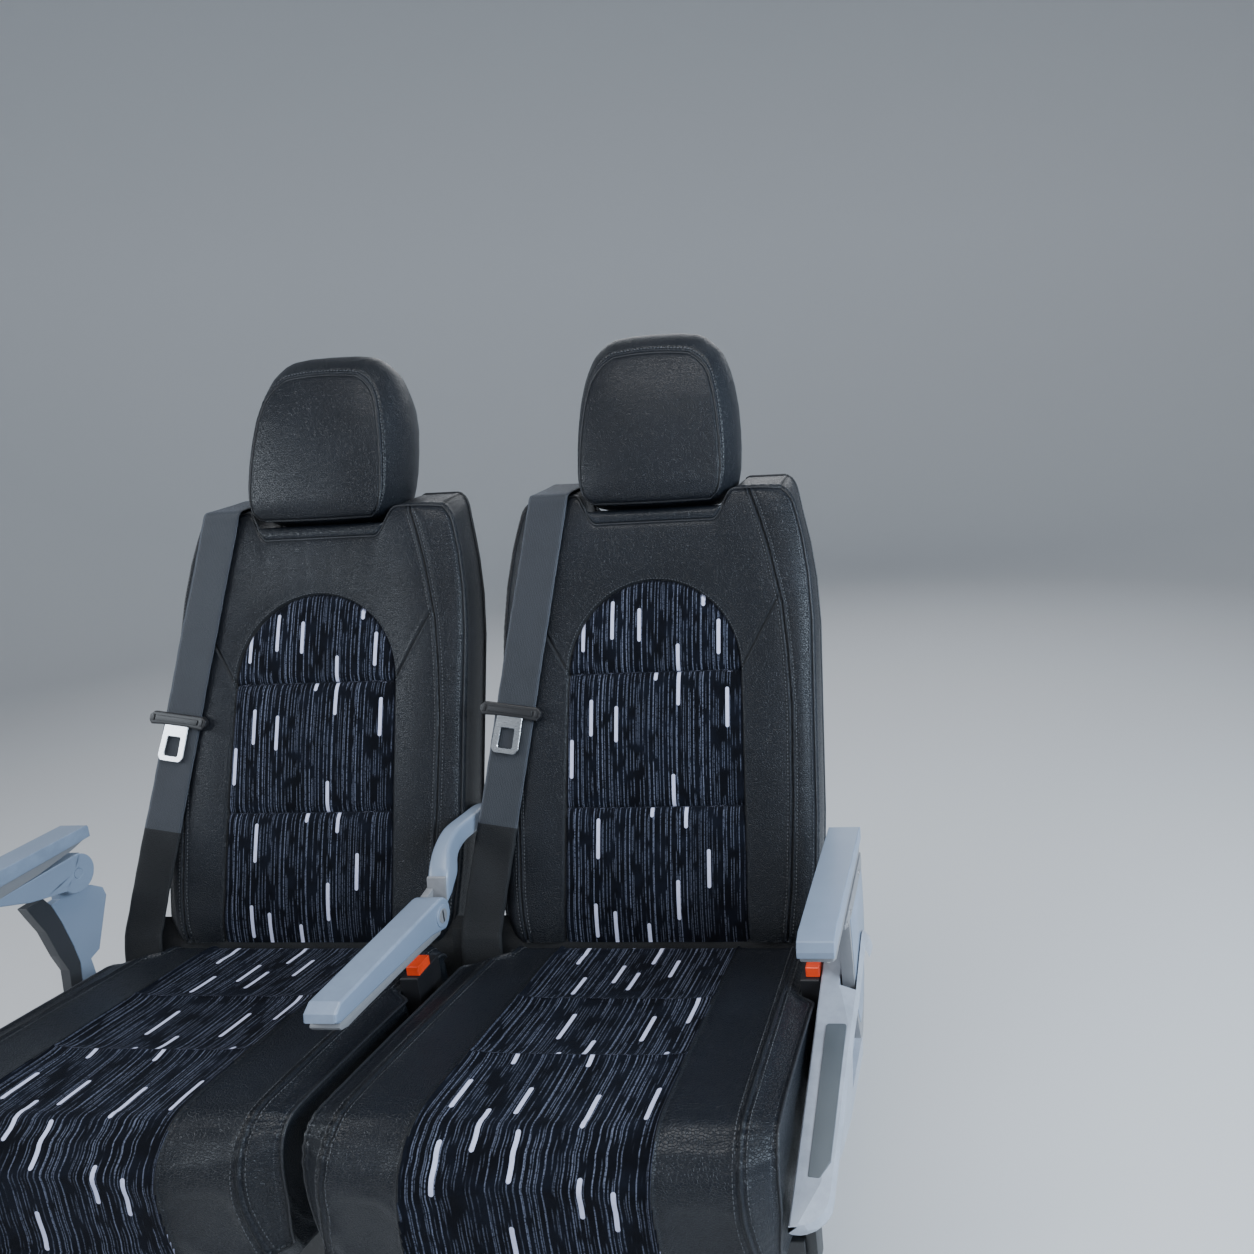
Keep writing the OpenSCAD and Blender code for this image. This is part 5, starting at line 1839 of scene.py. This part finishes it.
def panel_mesh():
    ys = [-232, -229, -224, -216, -207, -198, -193, -180, -150, -120, -90, -60, -30, -24, -10, 6, 20, 50, 80, 90, 98, 106, 116, 126, 136, 144, 150]
    rings = []
    for y in ys:
        zt = float(np.interp(y, [-232, 90, 98, 106, 116, 126, 136, 144, 150], [401.5, 497, 498.2, 496.5, 491.5, 484.5, 475.5, 467.5, 460.5]))
        zb = float(np.interp(y, [-232, -226, -150, -70, 0, 88, 96, 100, 144, 150], [393, 386.5, 366, 332, 318, 318, 318, 318, 318, 322]))
        xm = float(np.interp(y, [-232, -182, -113, -25, 118], [269, 270, 272, 274, 277]))
        xo = xm - 34 + math.sqrt(max(0.0, 34**2 - max(0.0, -198 - y) ** 2))
        r = float(np.interp(y, [-232, -193, -30, 6, 20, 150], [239.5, 257.5, 268.2, 258, 252.4, 252.4]))
        r = min(r, xo - 3)
        sh = min(272.0, xo - 3.0)
        drop = max(0.0, (sh - r)) * 0.36
        k = min(1.0, (xo - xm + 34) / 34)
        zsh = zt - drop
        low = zsh - zb
        ring = [
            (232, zb + 1.5), (232, zt - 2.4), (233.6, zt - 0.6), (240.5, zt), (r, zt + 0.1), (sh, zsh), (xo - 0.8, zsh - min(6, low * 0.3)), (xo, zsh - min(11, low * 0.5)), (xo - 2.5 * k, zsh - min(20, low * 0.7)), (xo - 9 * k, zsh - min(33, low * 0.85)), (max(236, xo - 17 * k), zb),
        ]
        rings.append([(x, y, z) for x, z in ring])
    v, f = loft(rings)
    bm = bmesh.new()
    bv = [bm.verts.new(x) for x in v]
    for t in f:
        bm.faces.new([bv[i] for i in t])
    bmesh.ops.recalc_face_normals(bm, faces=bm.faces)
    me = bpy.data.meshes.new("panel")
    bm.to_mesh(me)
    bm.free()
    me = cut(me, prism([(20, 345), (118, 345), (118, 250), (164, 250), (164, 640), (20, 640)], 253.4, 271.6, "x", 0))
    # rear stand on the beam, with the socket of the lug
    bm = bmesh.new()
    bm.from_mesh(me)
    bmesh.ops.dissolve_limit(bm, angle_limit=math.radians(0.8), verts=bm.verts, edges=bm.edges)
    edges = [e for e in bm.edges if len(e.link_faces) == 2 and e.calc_face_angle(0) > math.radians(16)]
    bmesh.ops.bevel(bm, geom=edges, offset=1.3, segments=3, profile=0.6, affect="EDGES", clamp_overlap=True)
    p = Parts()
    p.bm(bm)
    p.bm(prism([(97, 286), (143, 286), (143, 322), (97, 322)], 232.4, 252, "x", 1.0, 2), 1)
    p.bm(prism([(-164, 285), (-136, 285), (-132, 366), (-168, 366)], 232.2, 243, "x", 1.0, 2), 1)
    return p.mesh("side_panel", [PANEL, PAINT, SCREW, BLACK], None, 20)


show("aisle_side_panel_cover", panel_mesh(), "underframe", ("aisle_side_panel",))


def insert_mesh():
    """The dark insert lies on the panel's sloping top."""
    a = math.atan(0.3)
    c, s = math.cos(a), math.sin(a)
    out = fillet([(244.4, -29), (266.6, -29), (264.6, -173), (256.2, -189), (244.4, -188)], [4, 4, 3, 3, 2], 5)
    p = Parts()
    bm = prism([(x, y) for x, y in out], -1.2, 1.5, "z", 0.7, 3)
    bm.verts.index_update()
    v = np.array([x.co for x in bm.verts])
    f = [tuple(x.index for x in y.verts) for y in bm.faces]
    bm.free()
    z = v[:, 2]
    w = np.stack([v[:, 0], v[:, 1] - z * s, 470 + 0.3 * v[:, 1] + z * c], 1)
    p.add(w, f)
    return p.mesh("insert", [INSERT], None, 30)


show("aisle_panel_insert_cover", insert_mesh(), "underframe", ("aisle_panel_insert",))


def centre_arm_mesh():
    p = Parts()
    x0, x1 = -257.5, -221.5
    hub = arc(60, 538, 21, 88, -75, 18)
    up = [(-142, 562)] + hub + [(50, 522), (36, 526), (12, 529), (-60, 534.5), (-148, 541), (-155, 546), (-153.5, 555)]
    p.bm(prism(up, x0, x1, "x", 4.4, 4, lambda e: e.calc_length() > 3 and abs((e.verts[0].co - e.verts[1].co).x) < 1), 0)
    lo = [(-146, 541.5), (-149.5, 537), (-146, 532.5), (-136, 529.5), (-60, 525.5), (0, 521.8), (30, 519.2), (54, 517.6), (60, 524), (40, 527.5), (12, 530), (-60, 535.5)]
    p.bm(prism(lo, x0 + 1.6, x1 - 1.6, "x", 1.6, 2), 1)
    # pivot boss with its slotted cap
    p.bm(disc((x1 - 0.6, 60, 538), "x", 13.0, 1.9, 44, 0.8, 3), 0)
    p.bm(disc((x1 + 1.0, 60, 538), "x", 8.6, 0.9, 36, 0.4, 2), 1)
    # painted shade: the slot is a thin black bar standing proud of the cap, for the shadow in the slot
    p.bm(prism([(58.9, 530.8), (61.1, 530.8), (61.1, 545.2), (58.9, 545.2)], x1 + 1.5, x1 + 2.3, "x", 0.2, 1), 3)
    return p.mesh("centre_arm", ARM_MATS, None, 20)


show("centre_armrest_cover", centre_arm_mesh(), "centre_armrest", ("centre_armrest",))


def stub_mesh():
    p = Parts()
    x0, x1 = -257.5, -230.5
    # columns: front point y, z, rear point y, z, the two sides
    st = [
        (92, 535, 106, 542.5, -257.5, -230.5), (94.3, 549, 112.5, 546.5, -257.5, -230.5), (98.5, 563.5, 121, 551.5, -257.6, -230.6), (104.5, 573, 130, 556.5, -258.4, -231.6), (113.5, 581, 138, 561.5, -260, -234.6),
        (126, 590, 147, 567, -261, -238.6), (140, 597.6, 156, 572, -261, -240), (156, 602.4, 167, 575.5, -261, -240), (175, 602.6, 181, 576.5, -261, -240), (205, 600, 206, 574.5, -261, -240), (240, 597, 236, 571.5, -261, -240), (264, 589, 254, 570.5, -261, -240),
    ]
    st = curve_pts(st, 4)
    th = np.linspace(0, 2 * math.pi, 36, endpoint=False)
    ex, ez = np.sign(np.cos(th)) * np.abs(np.cos(th)) ** 0.42, np.sign(np.sin(th)) * np.abs(np.sin(th)) ** 0.42
    rings = []
    for k, (ya, za, yb, zb, xa, xb) in enumerate(st):
        e = min(k, len(st) - 1 - k)
        g = (0.90, 0.97, 1.0)[min(e, 2)]
        rings.append(np.stack([(xa + xb) / 2 + ex * (xb - xa) / 2 * g, (ya + yb) / 2 + ez * (ya - yb) / 2 * g, (za + zb) / 2 + ez * (za - zb) / 2 * g], 1))
    v, f = loft(rings)
    p.add(v, f)
    rim = [(91.2, 534.5), (93.6, 534.5), (99.6, 568), (97.0, 566.5)]
    p.bm(prism(rim, x0 + 1.5, x1 - 1.5, "x", 0.6, 2), 1)
    p.bm(prism([(58.3, 547.8), (102.6, 555.6), (106, 536), (61.7, 528.2)], x0, x0 + 9, "x", 1.0, 2), 1)
    p.bm(disc((x0, 60, 538), "x", 15, 9, 40, 1.0, 2), 1)
    p.bm(disc((x0 + 8, 60, 538), "x", 5, 18, 24, 0.5, 1), 1)
    return p.mesh("centre_stub", ARM_MATS, None, 20)


show("centre_armrest_stub", stub_mesh(), "window_back", ("centre_armrest_bracket",))

# ---------------------------------------------------------------- CAD nodes that stay, with bevelled edges
KEEP = {
    "pedestal": PAINT, "front_beam": PAINT, "rear_beam": PAINT, "wall_bracket": PAINT,
    "centre_hinge_bracket": PAINT, "aisle_hinge_bracket": PAINT, "window_hinge_bracket": PAINT,
    "aisle_seat_pan": BLACK, "window_seat_pan": BLACK,
    "window_armrest_bracket": ARM, "window_bracket_trim": DARK, "window_armrest_beam": ARM,
    "aisle_buckle": BLACK, "window_buckle": BLACK, "aisle_buckle_button": RED, "window_buckle_button": RED,
    "aisle_back_frame": PAINT, "window_back_frame": PAINT,
    "aisle_headrest_posts": POST, "window_headrest_posts": POST,
}
BEVEL = {"window_armrest_beam": 3.0, "window_armrest_bracket": 2.2, "aisle_buckle": 2.0, "window_buckle": 2.0}
for name, mat in KEEP.items():
    ob = NODES[name]
    ob.data.materials.clear()
    ob.data.materials.append(mat)
    w = ob.modifiers.new("weld", "WELD")
    w.merge_threshold = 2e-5
    bv = ob.modifiers.new("bevel", "BEVEL")
    bv.width = BEVEL.get(name, 1.2) * 0.001
    bv.segments = 3
    bv.limit_method = "ANGLE"
    bv.angle_limit = math.radians(28)
    bv.use_clamp_overlap = True

# ---------------------------------------------------------------- floor and light


def stage():
    bm = bmesh.new()
    n, prof = 96, [(0.0, 0.0), (2.0, 0.0), (4.2, 0.0)] + [(4.2 + 1.8 * math.sin(a), 1.8 - 1.8 * math.cos(a)) for a in np.radians(np.linspace(7, 90, 14))] + [(6.0, 3.4), (6.0, 5.2)]
    rings = []
    for r, z in prof[1:]:
        rings.append([bm.verts.new((r * math.cos(2 * math.pi * k / n), r * math.sin(2 * math.pi * k / n), z)) for k in range(n)])
    c = bm.verts.new((0, 0, 0))
    for k in range(n):
        bm.faces.new((c, rings[0][k], rings[0][(k + 1) % n]))
    for a, b in zip(rings[:-1], rings[1:]):
        for k in range(n):
            q = (k + 1) % n
            bm.faces.new((a[k], b[k], b[q], a[q]))
    me = bpy.data.meshes.new("studio_floor")
    bm.to_mesh(me)
    bm.free()
    me.polygons.foreach_set("use_smooth", [True] * len(me.polygons))
    m = Mat("studio_pale", (0.66, 0.67, 0.69), 0.7, spec=0.3)
    me.materials.append(m.m)
    ob = bpy.data.objects.new("studio_floor", me)
    ob.location = (-0.24, 0, 0)
    SCENE.collection.objects.link(ob)


def area(name, loc, target, size, power, color=(1, 1, 1)):
    d = bpy.data.lights.new(name, "AREA")
    d.shape = "RECTANGLE"
    d.size, d.size_y = size
    d.energy = power
    d.color = color
    o = bpy.data.objects.new(name, d)
    o.location = loc
    o.rotation_mode = "QUATERNION"
    o.rotation_quaternion = (Vector(target) - Vector(loc)).to_track_quat("-Z", "Y")
    o.visible_camera = False
    SCENE.collection.objects.link(o)


stage()
area("window_right", (2.3, -0.5, 1.5), (0.0, 0.1, 0.8), (2.2, 1.1), 110, (0.72, 0.86, 1.0))
area("window_left", (-2.7, -1.1, 1.7), (-0.3, 0.1, 0.7), (2.2, 1.1), 58, (0.84, 0.92, 1.0))
area("top", (0.0, -0.6, 3.0), (-0.2, 0.1, 0.6), (2.4, 1.2), 50, (1.0, 0.99, 0.97))
area("front", (0.9, -3.0, 2.3), (-0.2, 0.0, 0.7), (2.6, 1.4), 22, (1.0, 0.99, 0.98))
area("rear", (-0.4, 3.2, 2.4), (-0.2, 0.2, 0.8), (2.8, 1.8), 30, (0.95, 0.97, 1.0))
world = bpy.data.worlds.new("studio")
SCENE.world = world
world.use_nodes = True
world.node_tree.nodes["Background"].inputs[0].default_value = (0.80, 0.86, 0.95, 1)
world.node_tree.nodes["Background"].inputs[1].default_value = 0.10
